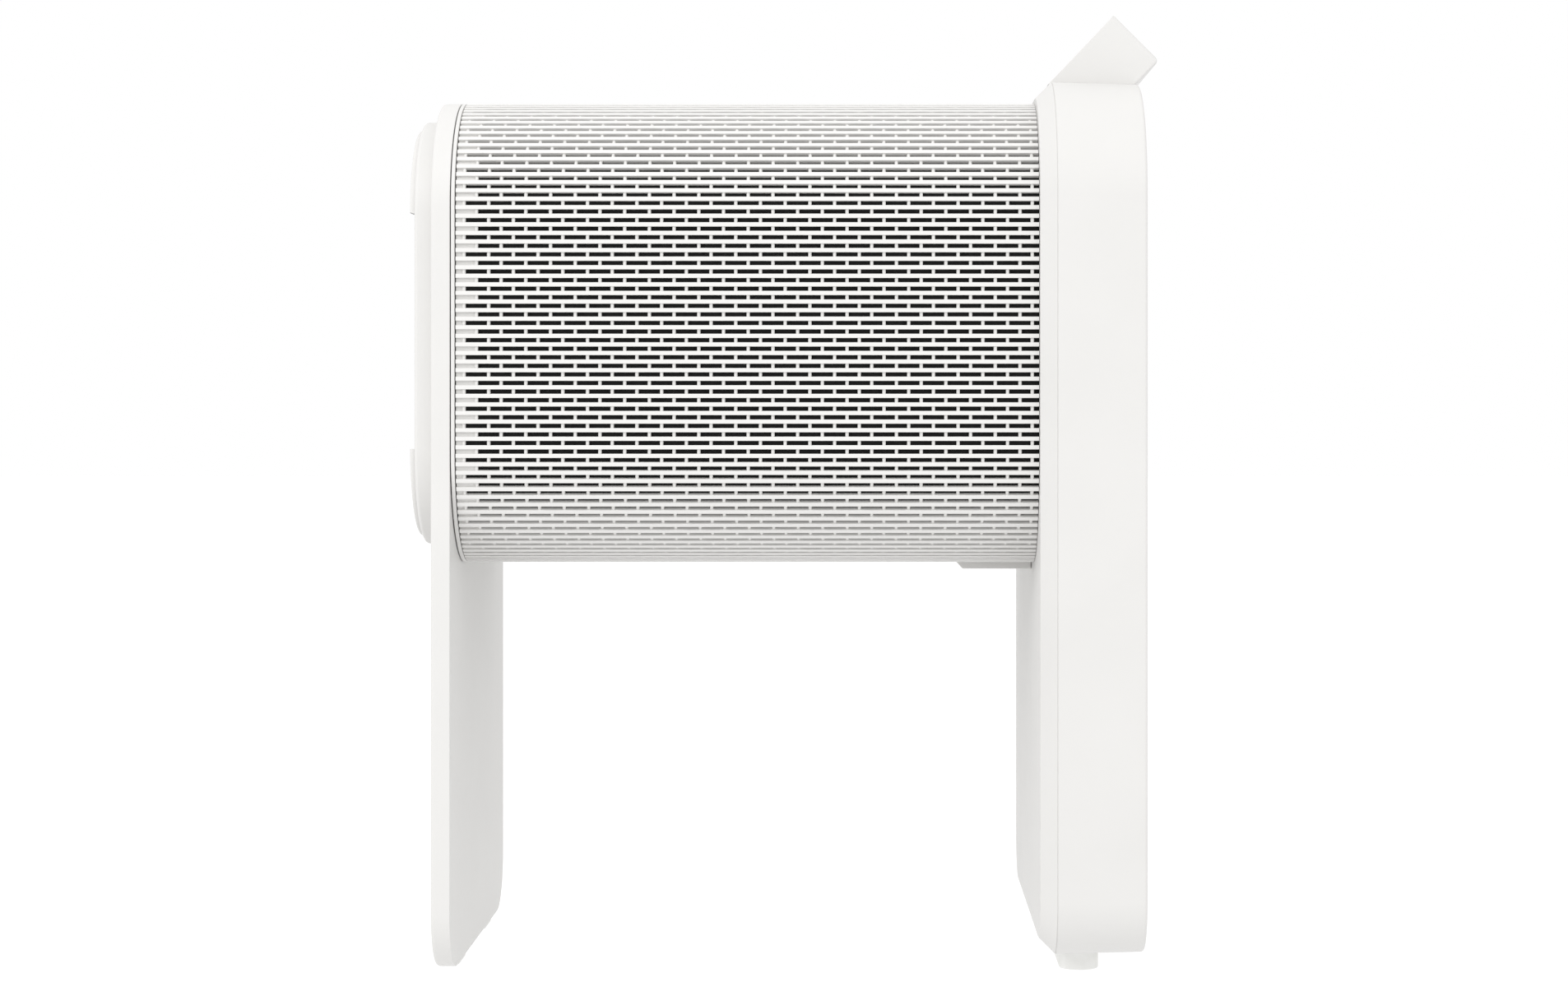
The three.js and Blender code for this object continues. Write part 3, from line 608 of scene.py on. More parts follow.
def sleeve_body():
    """The slotted sleeve. Each row of slots is a strip between the middles of two ribs."""
    start, end = round(sleeve_low.x, 3), round(sleeve_high.x, 3)
    perimeter = 8 * (BARREL_HALF - BARREL_RADIUS) + 2 * math.pi * BARREL_RADIUS
    pitch = perimeter / ROW_COUNT
    half = GROOVE / 2
    body = bmesh.new()
    known = {}

    def vertex(line, along, x, depth):
        key = (line, x, round(depth, 3))
        if key not in known:
            known[key] = body.verts.new((x, *section_point(along, depth)))
        return known[key]

    def face(*corners):
        body.faces.new(corners)

    def is_open(row):
        y, z = section_point(row * pitch - ROW_SHIFT, 0)
        return z < AXIS_Z - BARREL_HALF + 1 and abs(y) < INLET_WINDOW_HALF

    crest = rounded([(half + 1, 0.0), (half, 0.0), (half, 1.0)], [0, RIB_EDGE, 0], 3, False)[1:-1]

    def row_side(row, side, low, high, solids, extra):
        """The half rib on one side of a row's groove, from the rib's middle to the groove wall."""
        centre = row * pitch - ROW_SHIFT
        rib = (("rib", (row + (side > 0)) % ROW_COUNT), centre + side * pitch / 2)
        wall = (("wall", row, side), centre + side * half)
        lines = [(("crest", row, side, i), centre + side * point.x, point.y)
                 for i, point in enumerate(crest)]
        outer = [vertex(*rib, x, 0.0) for x in (low, *extra, high)]
        inner = [vertex(*rib, x, SLEEVE_WALL) for x in (low, *extra, high)]
        previous = outer
        for line, along, depth in lines:
            current = [vertex(line, along, x, depth) for x in (low, high)]
            face(*previous, *reversed(current))
            previous = current
        points = wall_path(solids, low, high)
        ends = {x: sorted((p for p in points if p[0] == x), key=lambda p: p[1]) for x in (low, high)}
        between = [p for p in points if low < p[0] < high]
        comb = [ends[low][0], *between, ends[high][0]]
        face(*previous, *(vertex(*wall, *p) for p in reversed(comb)))
        under = [p for p in dict.fromkeys([ends[low][-1], *between, ends[high][-1]])
                 if p[1] == SLEEVE_WALL]
        face(*inner, *(vertex(*wall, *p) for p in reversed(under)))
        for x, at in ((low, 0), (high, -1)):
            face(outer[at], *(vertex(line, along, x, depth) for line, along, depth in lines),
                 *(vertex(*wall, *p) for p in ends[x]), inner[at])
        if extra:
            face(outer[1], outer[2], inner[2], inner[1])

    for row in range(ROW_COUNT):
        centre = row * pitch - ROW_SHIFT
        cut = is_open(row)
        profiles = bridge_profiles(FIRST_SLOT[row % 2], start, end)
        around_window = [(start, INLET_WINDOW_X[0]), (INLET_WINDOW_X[1], end)]
        for low, high in around_window if cut else [(start, end)]:
            solids = clipped(profiles, low, high)
            for side in (-1, 1):
                edge = is_open((row + side) % ROW_COUNT) and not cut
                row_side(row, side, low, high, solids, INLET_WINDOW_X if edge else ())
            near, far = ((("wall", row, side), centre + side * half) for side in (-1, 1))
            for profile in solids:
                for a, b in zip(profile, profile[1:] + profile[:1]):
                    face(vertex(*near, *a), vertex(*near, *b), vertex(*far, *b), vertex(*far, *a))
    bmesh.ops.recalc_face_normals(body, faces=body.faces)
    return body


# ---------------------------------------------------------------- frames for local shapes

# Local (u, v, w) to the barrel: u along Y, v up from the axis, w along X.
ON_BARREL = Matrix(((0, 0, 1, 0), (1, 0, 0, 0), (0, 1, 0, AXIS_Z), (0, 0, 0, 1)))

# Local (u, v, w) to the head's face: u along Y, v up the slope, w out of the face.
PANEL_HALF = (73.7, 15.2)
panel_high = span("control_panel")[1]
face_x = panel_high.x - PANEL_HALF[1] * COS45
face_z = panel_high.z - PANEL_HALF[1] * COS45
ON_FACE = Matrix((
    (0, -COS45, COS45, face_x), (1, 0, 0, 0), (0, COS45, COS45, face_z), (0, 0, 0, 1)))


def outline_rings(outline, profile):
    return [along_x(outline(inset), x) for x, inset in profile]


def barrel_tube(x_range, inset, wall, edge):
    """A tube with the barrel's section and rounded outer edges."""
    low, high = x_range
    profile = rounded(
        [(low, inset), (high, inset), (high, inset + wall), (low, inset + wall)], [edge, edge, 0, 0])
    return skin(outline_rings(lambda inset: square(BARREL_HALF, BARREL_RADIUS, inset), profile), True)


def build_barrel():
    # The sleeve takes the lighter white, a painted highlight on its rib tops and grooves.
    piece("sleeve", sleeve_body(), "frame", "white_shell", ["barrel_sleeve"],
          finish="painted_highlight_sleeve_white", sharp=40)
    low, high = span("rear_end_ring")
    ring = barrel_tube((low.x, high.x), 0.0, SLEEVE_WALL, 0.35)
    piece("end_ring", ring, "frame", "white_shell", ["rear_end_ring"])
    low, high = span("prefilter_mesh")
    mesh = barrel_tube((low.x, high.x), SLEEVE_WALL + GAP, 1.0, 0.2)
    opening = block((INLET_WINDOW_X[0], -INLET_WINDOW_HALF, low.z - 5),
                    (INLET_WINDOW_X[1], INLET_WINDOW_HALF, low.z + 20))
    piece("prefilter", carved(mesh, opening), "frame", "black_mesh", ["prefilter_mesh"])


# ---------------------------------------------------------------- rear panel and its glides

def rear_panel_body():
    low, high = span("rear_panel")
    profile = rounded(
        [(low.x, 30), (low.x, 0), (high.x, 0), (high.x, 30)], [0, PANEL_EDGE, 0.4, 0], 8, False)[1:-1]

    def outline(inset):
        return upright(high.y, low.z, high.z, BARREL_RADIUS, PANEL_FOOT_RADIUS, inset)

    chamfer = 0.6
    hole = [(high.x, chamfer), (high.x - chamfer, 0), (low.x + chamfer, 0), (low.x, chamfer)]
    rings = outline_rings(outline, profile)
    rings += [circle_ring(x, SERVICE_RADIUS + wider) for x, wider in hole]
    return skin(rings, True)


def glide_body(node):
    low, high = span(node)
    outline = [(-v, u) for u, v in pill((high.y - low.y) / 2, (high.x - low.x) / 2)]
    body = prism(outline, low.z, high.z, (0.6, 0.2))
    return shifted(body, (low.x + high.x) / 2, (low.y + high.y) / 2)


def screw_body(node):
    """A pan head with a hexagon socket."""
    low, high = span(node)
    centre = ((low.y + high.y) / 2, (low.z + high.z) / 2)
    radius = (high.y - low.y) / 2
    foot = low.x + 3.5
    dome = rounded([(foot, 0), (foot, radius), (low.x, radius * 0.86), (low.x, 0)],
                   [0, 0.3, 1.4, 0], 6, False)
    head = turned([p for p in dome if p[1] > 0], centre, steps=48)
    socket = turned([(low.x - 1, 2.3), (low.x + 2, 2.3)], centre, steps=6)
    return carved(head, socket)


def build_rear_panel():
    piece("panel", rear_panel_body(), "frame", "white_shell", ["rear_panel"])
    for side in ("near", "far"):
        piece(f"glide_{side}", glide_body(f"rear_glide_{side}"), "frame", "light_rubber",
              [f"rear_glide_{side}"])
    for i in range(1, 5):
        piece(f"rod_screw_{i}", screw_body(f"tie_rod_screw_{i}"), "frame", "steel", [f"tie_rod_screw_{i}"])


# ---------------------------------------------------------------- rear lid

def lid_body():
    low, high = span("rear_lid")
    rim_x = span("rear_panel")[0].x - GAP
    floor_x = low.x + LID_WALL
    profile = rounded(
        [(low.x, 40), (low.x, 0), (rim_x, 0), (rim_x, LID_WALL), (floor_x, LID_WALL), (floor_x, 40)],
        [0, LID_EDGE, 0.5, 0.5, 1.0, 0], 7, False)[1:-1]
    shell = skin(outline_rings(lambda inset: square(high.y, LID_RADIUS, inset), profile))
    outer = SERVICE_RADIUS - 2 * GAP
    inner = outer - LID_WALL
    spigot = turned(
        [(floor_x - 0.5, inner), (floor_x - 0.5, outer), (high.x - 1.2, outer),
         (high.x, outer - 0.8), (high.x, inner)], (0, AXIS_Z), closed=True)
    hub = turned([(floor_x - 0.5, 16), (floor_x - 0.5, 18), (floor_x + 5, 18), (floor_x + 5, 16)],
                 (0, AXIS_Z), closed=True)
    ribs = []
    for i in range(8):
        rib = block((floor_x - 0.5, -0.9, 17.5), (floor_x + 4.5, 0.9, inner + 0.5), 0.3)
        turn = Matrix.Rotation(math.radians(45 * i + 22.5), 4, "X")
        ribs.append(shifted(moved(rib, turn), z=AXIS_Z))
    bosses = []
    for y in (-ROD_OFFSET, ROD_OFFSET):
        for z in (-ROD_OFFSET, ROD_OFFSET):
            ring = [(floor_x - 0.5, 5.3), (floor_x - 0.5, 7), (floor_x + 2.3, 7), (floor_x + 2.3, 5.3)]
            bosses.append(turned(ring, (y, AXIS_Z + z), steps=32, closed=True))
    return together(shell, spigot, hub, *ribs, *bosses)


def pad_body(node, side):
    """A raised pad over the part of the lid beyond a straight edge."""
    low, high = span(node)
    half = high.y
    radius = LID_RADIUS - PAD_INSET
    corners = [(half, side * PAD_FROM), (half, side * half), (-half, side * half), (-half, side * PAD_FROM)]
    outline = rounded(corners, [0, radius, radius, 0], CORNER_STEPS)
    body = prism(outline, -high.x, -low.x, (0.2, 1.5))
    flip = Matrix(((0, 0, -1, 0), (1, 0, 0, 0), (0, 1, 0, AXIS_Z), (0, 0, 0, 1)))
    return clean(moved(body, flip))


def build_lid():
    piece("lid", lid_body(), "lid", "white_shell", ["rear_lid"])
    piece("pad_upper", pad_body("lid_pad_upper", 1), "lid", "soft_white", ["lid_pad_upper"])
    piece("pad_lower", pad_body("lid_pad_lower", -1), "lid", "soft_white", ["lid_pad_lower"])
    for i in range(1, 5):
        low, high = span(f"lid_magnet_{i}")
        centre = ((low.y + high.y) / 2, (low.z + high.z) / 2)
        radius = (high.y - low.y) / 2
        disc = rounded([(low.x, 0), (low.x, radius), (high.x, radius), (high.x, 0)],
                       [0, 0.3, 0.4, 0], 4, False)
        body = turned([p for p in disc if p[1] > 0], centre, steps=40)
        piece(f"magnet_{i}", body, "lid", "steel", [f"lid_magnet_{i}"])


# ---------------------------------------------------------------- front housing

def housing_outline(inset):
    low, high = span("front_housing")
    return upright(high.y, low.z, high.z, HOUSING_TOP_RADIUS, HOUSING_FOOT_RADIUS, inset)


def housing_body():
    low, high = span("front_housing")
    wall_x = low.x + HOUSING_WALL + 0.5
    rim = HOUSING_DRAFT + HOUSING_WALL
    edge_x = low.x + HOUSING_CHAMFER
    profile = rounded(
        [(low.x, 40), (low.x, HOUSING_CHAMFER), (edge_x - SEAM, SEAM), (edge_x - SEAM / 2, 2 * SEAM),
         (edge_x + SEAM, 2 * SEAM), (edge_x + SEAM, 0), (high.x, HOUSING_DRAFT), (high.x, rim),
         (wall_x + 7, HOUSING_WALL), (wall_x, HOUSING_CHAMFER), (wall_x, 40)],
        [0, 0.5, 0.1, 0, 0, 0.1, 2.0, 0.4, 1.0, 1.0, 0], 7, False)[1:-1]
    rings = outline_rings(housing_outline, profile)
    rings += [circle_ring(wall_x, EYE_RADIUS), circle_ring(low.x, EYE_RADIUS)]
    return skin(rings, True)


def cover_body():
    low, high = span("front_cover")
    inset = HOUSING_WALL + HOUSING_DRAFT + GAP
    edge = 0.4
    grille_half = span("outlet_grille")[1].y + GAP
    outer = rounded([(low.x, 40), (low.x, inset), (high.x, inset), (high.x, 40)], [0, 0, edge, 0], 4, False)
    window = rounded([(high.x, -9), (high.x, 0), (low.x, 0), (low.x, -9)], [0, edge, 0, 0], 4, False)
    rings = outline_rings(housing_outline, outer[1:-1])
    rings += outline_rings(lambda inset: square(grille_half, GRILLE_RADIUS, inset), window[1:-1])
    sensor_z = span("air_sensor")[0].z
    vents = []
    for i in range(VENT_COUNT):
        vent = prism(pill(*VENT_HALF, 8), low.x - 1, high.x + 1)
        lift = sensor_z + VENT_RISE + VENT_PITCH * i - AXIS_Z
        vents.append(shifted(moved(vent, ON_BARREL), z=lift))
    return carved(skin(rings, True), *vents)


def grille_half_width(height):
    """Half the width of the slotted field at a height above or below the axis."""
    half = span("outlet_grille")[1].y - GRILLE_RIM
    radius = GRILLE_RADIUS - GRILLE_RIM
    past = max(abs(height) - (half - radius), 0)
    return half - radius + math.sqrt(max(radius * radius - past * past, 0))


def grille_body():
    """The plate with rows of slots in the sleeve's own pattern, flared at the front."""
    low, high = span("outlet_grille")
    edge, flare = 0.4, 0.4
    profile = rounded([(low.x, 40), (low.x, 0), (high.x, 0), (high.x, 40)], [0, 0, edge, 0], 4, False)[1:-1]
    plate = skin(outline_rings(lambda inset: square(high.y, GRILLE_RADIUS - GAP, inset), profile))
    slots = []
    pitch = 4.66
    rows = int((high.y - GRILLE_RIM) / pitch)
    for row in range(-rows, rows + 1):
        height = row * pitch
        reach = grille_half_width(abs(height) + GROOVE / 2)
        first = -SLOT_PITCH * 9 + (SLOT_PITCH / 2 if row % 2 else 0)
        for i in range(19):
            left = max(first + i * SLOT_PITCH - (SLOT_PITCH - BRIDGE) / 2, -reach)
            right = min(first + i * SLOT_PITCH + (SLOT_PITCH - BRIDGE) / 2, reach)
            if right - left < 3 * GROOVE:
                continue
            rings = []
            for x, wider in ((low.x - 1, 0), (high.x - flare, 0), (high.x + 0.1, flare + 0.1)):
                ends = pill((right - left) / 2 + wider, GROOVE / 2 + wider, 4)
                rings.append([(x, u + (left + right) / 2, v + height + AXIS_Z) for u, v in ends])
            slots.append(skin(rings))
    return carved(plate, *slots)


def foot_body():
    low, high = span("front_foot")
    outline = [(-v, u) for u, v in pill((high.y - low.y) / 2, (high.x - low.x) / 2, 24)]
    rail = shifted(prism(outline, low.z, high.z, (0.8, 0.2)), x=(low.x + high.x) / 2)
    holes = []
    for side in ("near", "far"):
        screw_low, screw_high = span(f"foot_screw_{side}")
        centre = ((screw_low.x + screw_high.x) / 2, (screw_low.y + screw_high.y) / 2)
        holes.append(turned([(-1, 5.4), (5, 5.4)], centre, "Z", 48))
        holes.append(turned([(4, 2.8), (high.z + 1, 2.8)], centre, "Z", 32))
    return carved(rail, *holes)


def build_housing():
    piece("housing", housing_body(), "frame", "white_shell", ["front_housing"])
    piece("cover", cover_body(), "frame", "white_shell", ["front_cover"])
    piece("grille", grille_body(), "frame", "white_shell", ["outlet_grille"])
    piece("foot", foot_body(), "frame", "light_rubber", ["front_foot"])


# ---------------------------------------------------------------- control head

APEX_EDGE = 1.2
TOE_EDGE = 3.0
END_EDGE = 3.2
UNDER_EDGE = 1.4
SMALL_EDGE = 0.35


def head_body():
    """A bar with a different rounding on each kind of edge, and a seat for the control panel."""
    low, high = span("control_head")
    tip = math.sqrt(2) - 1
    apex_z = high.z + tip * APEX_EDGE
    apex = (face_x + face_z - apex_z, apex_z)
    toe_x = high.x + tip * TOE_EDGE
    toe = (toe_x, face_x + face_z - toe_x)
    heel = (span("front_housing")[1].x - 0.7, low.z)
    section = [(low.x, low.z), apex, toe, heel]
    body = bmesh.new()
    ends = [[body.verts.new((x, y, z)) for x, z in section] for y in (-high.y, high.y)]
    body.faces.new(ends[0])
    body.faces.new(ends[1])
    side_edges = {0: SMALL_EDGE, 1: END_EDGE, 2: UNDER_EDGE, 3: SMALL_EDGE}
    for i in range(4):
        j = (i + 1) % 4
        body.faces.new((ends[0][i], ends[0][j], ends[1][j], ends[1][i]))
    bmesh.ops.recalc_face_normals(body, faces=body.faces)
    weight = body.edges.layers.float.new("bevel_weight_edge")
    along = {0: SMALL_EDGE, 1: APEX_EDGE, 2: TOE_EDGE, 3: SMALL_EDGE}
    for i in range(4):
        j = (i + 1) % 4
        body.edges.get((ends[0][i], ends[1][i]))[weight] = along[i] / END_EDGE
        for end in ends:
            body.edges.get((end[i], end[j]))[weight] = side_edges[i] / END_EDGE
    target = scratch_object(body, "head_blank")
    bevel = target.modifiers.new("edges", "BEVEL")
    bevel.limit_method = "WEIGHT"
    bevel.width = END_EDGE
    bevel.segments = 8
    blank = applied(target)
    half_u, half_v = PANEL_HALF[0] + GAP, PANEL_HALF[1] + GAP
    depth = 2.3
    seat = moved(prism(rectangle(half_u, half_v, 2.3), -depth, 5), ON_FACE)
    window = moved(prism(rectangle(half_u - 2, half_v - 2, 1.5), -8, 0), ON_FACE)
    return carved(blank, seat, window, solver="EXACT")


def panel_body():
    """The control panel: a plate with holes for the buttons and the lens."""
    plate = prism(rectangle(*PANEL_HALF, 2.0), -2.0, 0.0, (0.0, 0.35))
    tools = [prism(pill(21.3, 7.3, 24), -3, 1)]
    for name in BUTTONS:
        low, high = span(f"button_{name}")
        tools.append(turned([(-3, 6.6), (1, 6.6)], ((low.y + high.y) / 2, 0), "Z", 64))
    return moved(carved(plate, *tools), ON_FACE)


def button_body(u):
    """A round key with a shallow dish."""
    rim = rounded([(-4.0, 0), (-4.0, 6.3), (-0.1, 6.3), (-0.1, 5.2), (-0.35, 0)],
                  [0, 0, 0.45, 2.0, 0], 6, False)
    return moved(turned([p for p in rim if p[1] > 0.01], (u, 0), "Z", 64), ON_FACE)


def stroke(points, width=0.55, low=-0.45, high=-0.16, closed=False):
    """A thin raised line through 2-D points."""
    count = len(points)
    left, right = [], []
    for i, point in enumerate(points):
        before = Vector(points[i - 1]) if i or closed else Vector(point)
        after = Vector(points[(i + 1) % count]) if i < count - 1 or closed else Vector(point)
        along = (after - before).normalized()
        across = Vector((-along.y, along.x)) * width / 2
        left.append(Vector(point) + across)
        right.append(Vector(point) - across)
    rings = [[(*a, low), (*a, high), (*b, high), (*b, low)] for a, b in zip(left, right)]
    return skin(rings, closed)


def arc_points(radius, start, end, steps, centre=(0, 0)):
    turns = [math.radians(start + (end - start) * i / steps) for i in range(steps + 1)]
    return [(centre[0] + radius * math.cos(t), centre[1] + radius * math.sin(t)) for t in turns]


def symbol_body(name, u):
    """Plain generic symbols: a ring with a bar, three blades, a half-filled ring, a clock."""
    ring = arc_points(2.6, 0, 360, 48)[:-1]
    if name == "power":
        parts = [stroke(arc_points(2.6, 125, 415, 40)), stroke([(0, 0.6), (0, 3.2)])]
    elif name == "fan_speed":
        parts = []
        for turn in (90, 210, 330):
            tip = Matrix.Rotation(math.radians(turn), 2)
            loop = [tip @ Vector((1.7 + 1.25 * math.cos(a), 0.85 * math.sin(a)))
                    for a in (2 * math.pi * i / 24 for i in range(24))]
            parts.append(stroke(loop, 0.5, closed=True))
        parts.append(prism(arc_points(0.5, 0, 345, 23), -0.45, -0.16))
    elif name == "mode":
        half = arc_points(1.7, -90, 90, 24)
        parts = [stroke(ring, closed=True), prism(half, -0.45, -0.16)]
    else:
        parts = [stroke(ring, closed=True), stroke([(0, 1.6), (0, 0), (1.15, -0.6)], 0.45)]
    return moved(shifted(together(*parts), x=u), ON_FACE)


def build_head():
    piece("head", head_body(), "frame", "white_shell", ["control_head"])
    piece("head_panel", panel_body(), "frame", "soft_white", ["control_panel"])
    lens = prism(pill(21.0, 7.0, 32), -2.0, -0.1, (0.0, 0.4))
    piece("lens", moved(lens, ON_FACE), "frame", "smoked_lens", ["display_lens"])
    for i in range(5):
        dot = prism(arc_points(0.55, 0, 345, 23), -0.3, -0.07)
        dot = moved(shifted(dot, x=5.5 * (i - 2)), ON_FACE)
        piece(f"level_dot_{i + 1}", dot, "frame", "button_white", finish="printed_grey")
    for name in BUTTONS:
        low, high = span(f"button_{name}")
        u = (low.y + high.y) / 2
        body = f"{name}_button"
        piece(f"key_{name}", button_body(u), body, "button_white", [f"button_{name}"])
        piece(f"symbol_{name}", symbol_body(name, u), body, "button_white", finish="printed_grey")


# ---------------------------------------------------------------- mains inlet

def inlet_box_body():
    """A shallow box with a sloping rear end and a rim round its recessed underside."""
    low, high = span("mains_inlet_box")
    top = AXIS_Z - BARREL_HALF - GAP
    slope = 4.2
    section = [(low.x + slope, low.z), (low.x, top), (high.x, top), (high.x, low.z)]
    body = bmesh.new()
    ends = [[body.verts.new((x, y, z)) for x, z in section] for y in (-high.y, high.y)]
    body.faces.new(ends[0])
    body.faces.new(ends[1])
    for i in range(4):
        j = (i + 1) % 4
        body.faces.new((ends[0][i], ends[0][j], ends[1][j], ends[1][i]))
    bmesh.ops.recalc_face_normals(body, faces=body.faces)
    lower = [e for e in body.edges if min(v.co.z for v in e.verts) < low.z + 0.1]
    bmesh.ops.bevel(body, geom=lower, offset=0.5, segments=3, profile=0.5, affect="EDGES")
    rim, recess = 1.3, 0.7
    middle = ((low.x + slope + high.x) / 2, 0)
    half = ((high.x - low.x - slope) / 2 - rim, high.y - rim)
    field = shifted(prism(rectangle(*half, 1.5), low.z - 1, low.z + recess), *middle)
    inlet_low, inlet_high = span("mains_inlet")
    hole = block((inlet_low.x - GAP, inlet_low.y - GAP, low.z - 1),
                 (inlet_high.x + GAP, inlet_high.y + GAP, top + 1), 0.6)
    return carved(clean(body), field, hole)


def inlet_body():
    low, high = span("mains_inlet")
    insulator = block(low, high, 0.5)
    x = (low.x + high.x) / 2
    outline = [(-v, u) for u, v in pill(8.6, 4.3, 20)]
    waist = []
    for u, v in outline:
        pinch = 1 - 0.22 * max(0.0, 1 - abs(v) / 3.0)
        waist.append((u * pinch, v))
    cavity = shifted(prism(waist, low.z - 1, low.z + 11.5), x=x)
    return carved(insulator, cavity)


def build_inlet():
    piece("inlet_box", inlet_box_body(), "frame", "white_shell", ["mains_inlet_box"])
    piece("inlet", inlet_body(), "frame", "dark_plastic", ["mains_inlet"])
    for i in (1, 2):
        low, high = span(f"mains_pin_{i}")
        centre = ((low.x + high.x) / 2, (low.y + high.y) / 2)
        radius = (high.x - low.x) / 2
        pin = rounded([(low.z, 0), (low.z, radius), (high.z, radius), (high.z, 0)],
                      [0, 0.8, 0, 0], 5, False)
        piece(f"pin_{i}", turned([p for p in pin if p[1] > 0], centre, "Z", 32), "frame", "brass",
              [f"mains_pin_{i}"])


# ---------------------------------------------------------------- filter cartridge

PLEATS = 96


def media_body():
    """Pleated media: sharp folds between the outer and inner radius."""
    low, high = span("filter_media")
    outer = high.y - 0.4
    depth = 22.0
    per_pleat = (0.0, 0.08, 0.5, 0.92)
    shape = (1.0, 0.93, 0.0, 0.93)
    rings = []
    for x in (low.x, high.x):
        ring = []
        for pleat in range(PLEATS):
            for along, lift in zip(per_pleat, shape):
                angle = 2 * math.pi * (pleat + along) / PLEATS
                radius = outer - depth * (1 - lift)
                ring.append((x, radius * math.cos(angle), AXIS_Z + radius * math.sin(angle)))
        rings.append(ring)
    inner = []
    for x, y, z in rings[1]:
        spoke = Vector((y, z - AXIS_Z)).normalized() * (outer - depth - 1.5)
        inner.append((x, spoke.x, AXIS_Z + spoke.y))
    rings.append(inner)
    rings.append([(low.x, y, z) for _, y, z in inner])
    return skin(rings, True)


def ring_body(node, inner, edge=0.6):
    """A plain ring round the axis, from a node's own outer radius, with rounded edges."""
    low, high = span(node)
    profile = rounded(
        [(low.x, inner), (low.x, high.y), (high.x, high.y), (high.x, inner)], [edge] * 4, 4)
    return turned(profile, (0, AXIS_Z), closed=True, steps=144)


def rear_cap_body():
    """The closed cap: a raised rim, radial ribs and a hub for the pull tab."""
    low, high = span("filter_end_cap_rear")
    field = low.x + 1.6
    profile = rounded(
        [(high.x, 1), (high.x, high.y), (low.x, high.y), (low.x, high.y - 6), (field, high.y - 7),
         (field, 40), (low.x, 38), (low.x, 1)],
        [0, 0.6, 1.0, 0.5, 0.8, 0.8, 0.6, 0], 4, False)
    disc = turned(profile, (0, AXIS_Z), steps=144)
    ribs = []
    for i in range(12):
        rib = block((low.x + 0.2, -1.1, 38), (field + 1, 1.1, high.y - 5), 0.35)
        ribs.append(shifted(moved(rib, Matrix.Rotation(math.radians(30 * i + 15), 4, "X")), z=AXIS_Z))
    return together(disc, *ribs)


def tab_body():
    """The pull tab: a strap bent into a flat loop."""
    low, high = span("filter_pull_tab")
    thick, radius = 2.0, 3.2
    outer = rounded([(high.x, low.y), (low.x, low.y), (low.x, high.y), (high.x, high.y)],
                    [0, radius, radius, 0], 10, False)
    inner = rounded([(high.x, high.y - thick), (low.x + thick, high.y - thick),
                     (low.x + thick, low.y + thick), (high.x, low.y + thick)],
                    [0, radius - thick, radius - thick, 0], 10, False)
    outline = [tuple(p) for p in outer + inner]
    strap = prism(outline, low.z, high.z, (0.5, 0.5))
    return strap


def build_filter():
    piece("media", media_body(), "filter", "filter_paper", ["filter_media"], sharp=20)
    piece("cap_rear", rear_cap_body(), "filter", "dark_plastic", ["filter_end_cap_rear"])
    piece("cap_front", ring_body("filter_end_cap_front", 69.7), "filter", "dark_plastic",
          ["filter_end_cap_front"])
    piece("core", ring_body("carbon_core", 69.7, 0.4), "filter", "carbon", ["carbon_core"])
    seal = piece("seal", ring_body("filter_seal", 82.0, 1.6), "filter", "foam", ["filter_seal"])
    piece("pull_tab", tab_body(), "filter", "light_rubber", ["filter_pull_tab"])
    low, high = span("filter_media")
    for i in range(5):
        x = low.x + (high.x - low.x) * (i + 0.5) / 5
        band = rounded([(x - 2, high.y - 0.7), (x - 2, high.y), (x + 2, high.y), (x + 2, high.y - 0.7)],
                       [0.2, 0.3, 0.3, 0.2], 3)
        piece(f"media_band_{i + 1}", turned(band, (0, AXIS_Z), closed=True, steps=144), "filter",
              "soft_white")


# ---------------------------------------------------------------- room, camera and lights

def glowing_floor(name, shine):
    """The pale floor: it glows evenly, like a light table, so that it stays white in shade."""
    finish = Finish(name, (90, 90, 90), 0.9, Specular_IOR_Level=0.0)
    finish.tint(finish.noise(0.004, 2), (88, 88, 88), (92, 92, 92))
    finish.shader.inputs["Emission Color"].default_value = (1, 1, 1, 1)
    finish.shader.inputs["Emission Strength"].default_value = shine
    return finish.material


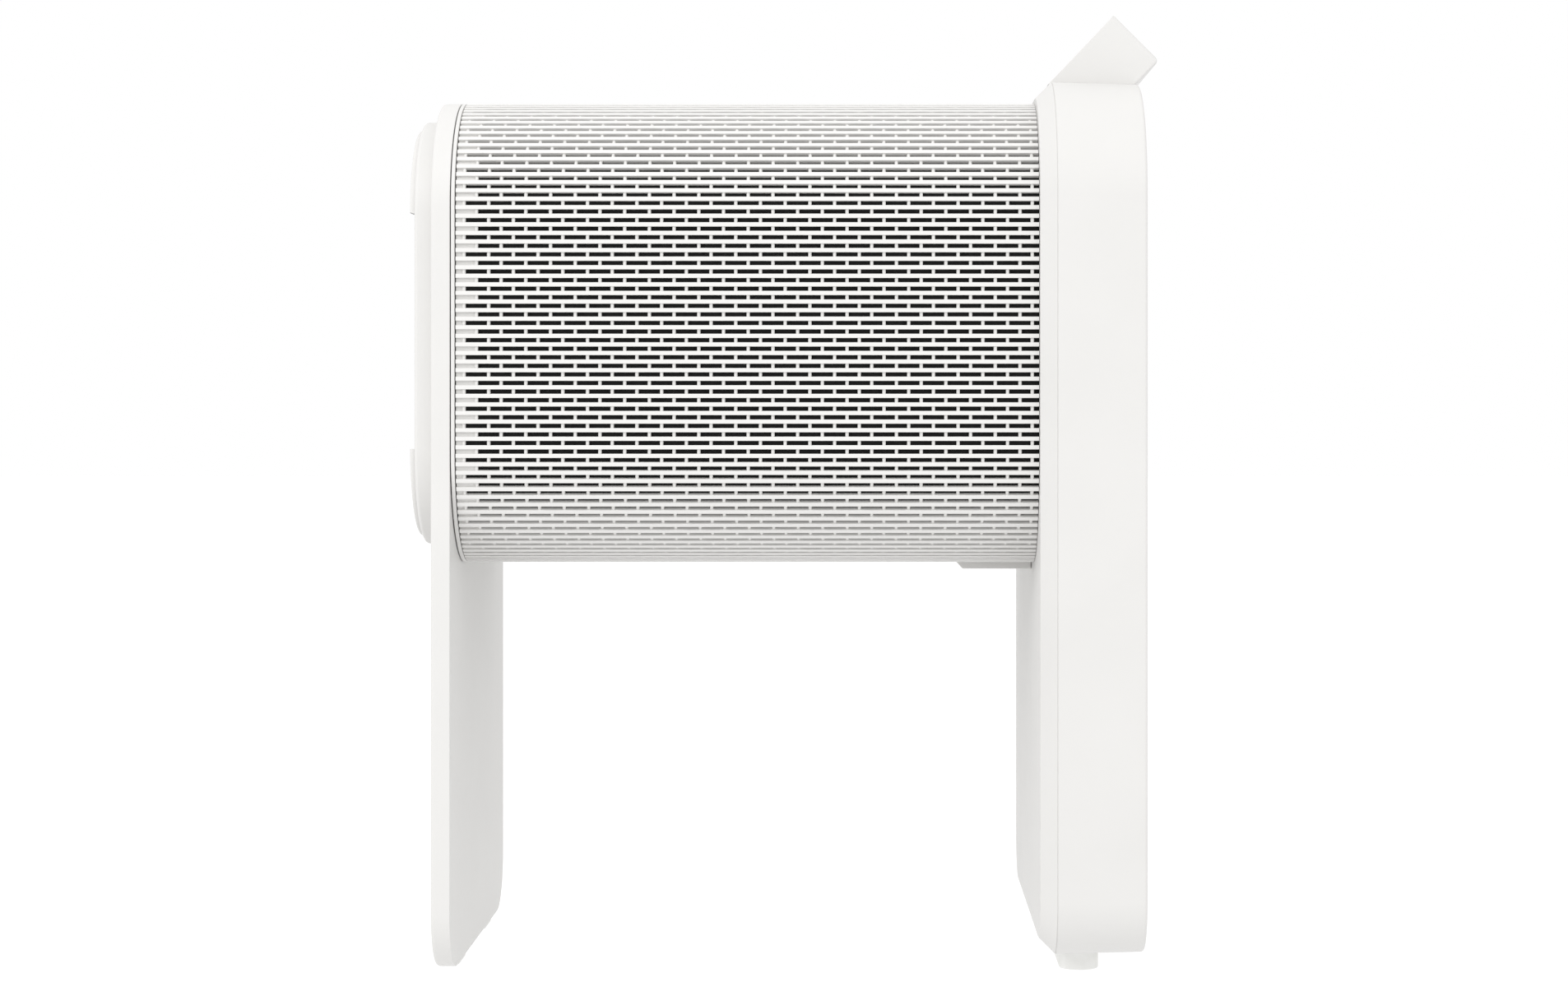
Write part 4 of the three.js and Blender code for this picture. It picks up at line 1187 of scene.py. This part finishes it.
def build_room():
    floor = bmesh.new()
    bmesh.ops.create_grid(floor, x_segments=4, y_segments=4, size=14.0)
    data = bpy.data.meshes.new("floor")
    floor.to_mesh(data)
    floor.free()
    data.materials.append(glowing_floor("floor_white", FLOOR_GLOW))
    made = bpy.data.objects.new("floor", data)
    bpy.context.scene.collection.objects.link(made)
    world = bpy.data.worlds.new("studio")
    world.use_nodes = True
    tree = world.node_tree
    background = tree.nodes["Background"]
    background.inputs["Color"].default_value = (1, 1, 1, 1)
    direction = tree.nodes.new("ShaderNodeTexCoord").outputs["Generated"]
    parts = tree.nodes.new("ShaderNodeSeparateXYZ")
    tree.links.new(direction, parts.inputs["Vector"])
    climb = tree.nodes.new("ShaderNodeMapRange")
    for socket, value in zip(("From Min", "From Max", "To Min", "To Max"), (0.2, 1.0, *WORLD_LIGHT)):
        climb.inputs[socket].default_value = value
    tree.links.new(parts.outputs["Z"], climb.inputs["Value"])
    tree.links.new(climb.outputs["Result"], background.inputs["Strength"])
    bpy.context.scene.world = world


def area_light(name, place, target, size, watts):
    light = bpy.data.lights.new(name, "AREA")
    light.shape = "RECTANGLE"
    light.size, light.size_y = size
    light.energy = watts
    made = bpy.data.objects.new(name, light)
    made.location = place
    aim = Vector(target) - Vector(place)
    made.rotation_euler = aim.to_track_quat("-Z", "Y").to_euler()
    bpy.context.scene.collection.objects.link(made)


def build_lights():
    middle = (0.0, 0.0, 0.3)
    area_light("key", (-1.2, -2.3, 2.0), middle, (2.4, 2.0), KEY_WATTS)
    area_light("fill", (2.6, -1.2, 1.4), middle, (1.6, 1.6), FILL_WATTS)


def build_camera():
    camera = bpy.data.cameras.new("camera")
    camera.sensor_width = 36.0
    camera.lens = 72.72
    camera.shift_x = -0.0493
    camera.shift_y = -0.0498
    camera.clip_end = 50.0
    made = bpy.data.objects.new("camera", camera)
    made.location = (0.041175, -1.8621, 0.3096)
    made.rotation_euler = (math.radians(90), 0, 0)
    bpy.context.scene.collection.objects.link(made)
    bpy.context.scene.camera = made
    bpy.context.scene.view_settings.view_transform = "Standard"


finish_cad_nodes()
build_camera()
build_lights()
build_room()
build_barrel()
build_rear_panel()
build_lid()
build_housing()
build_head()
build_inlet()
build_filter()
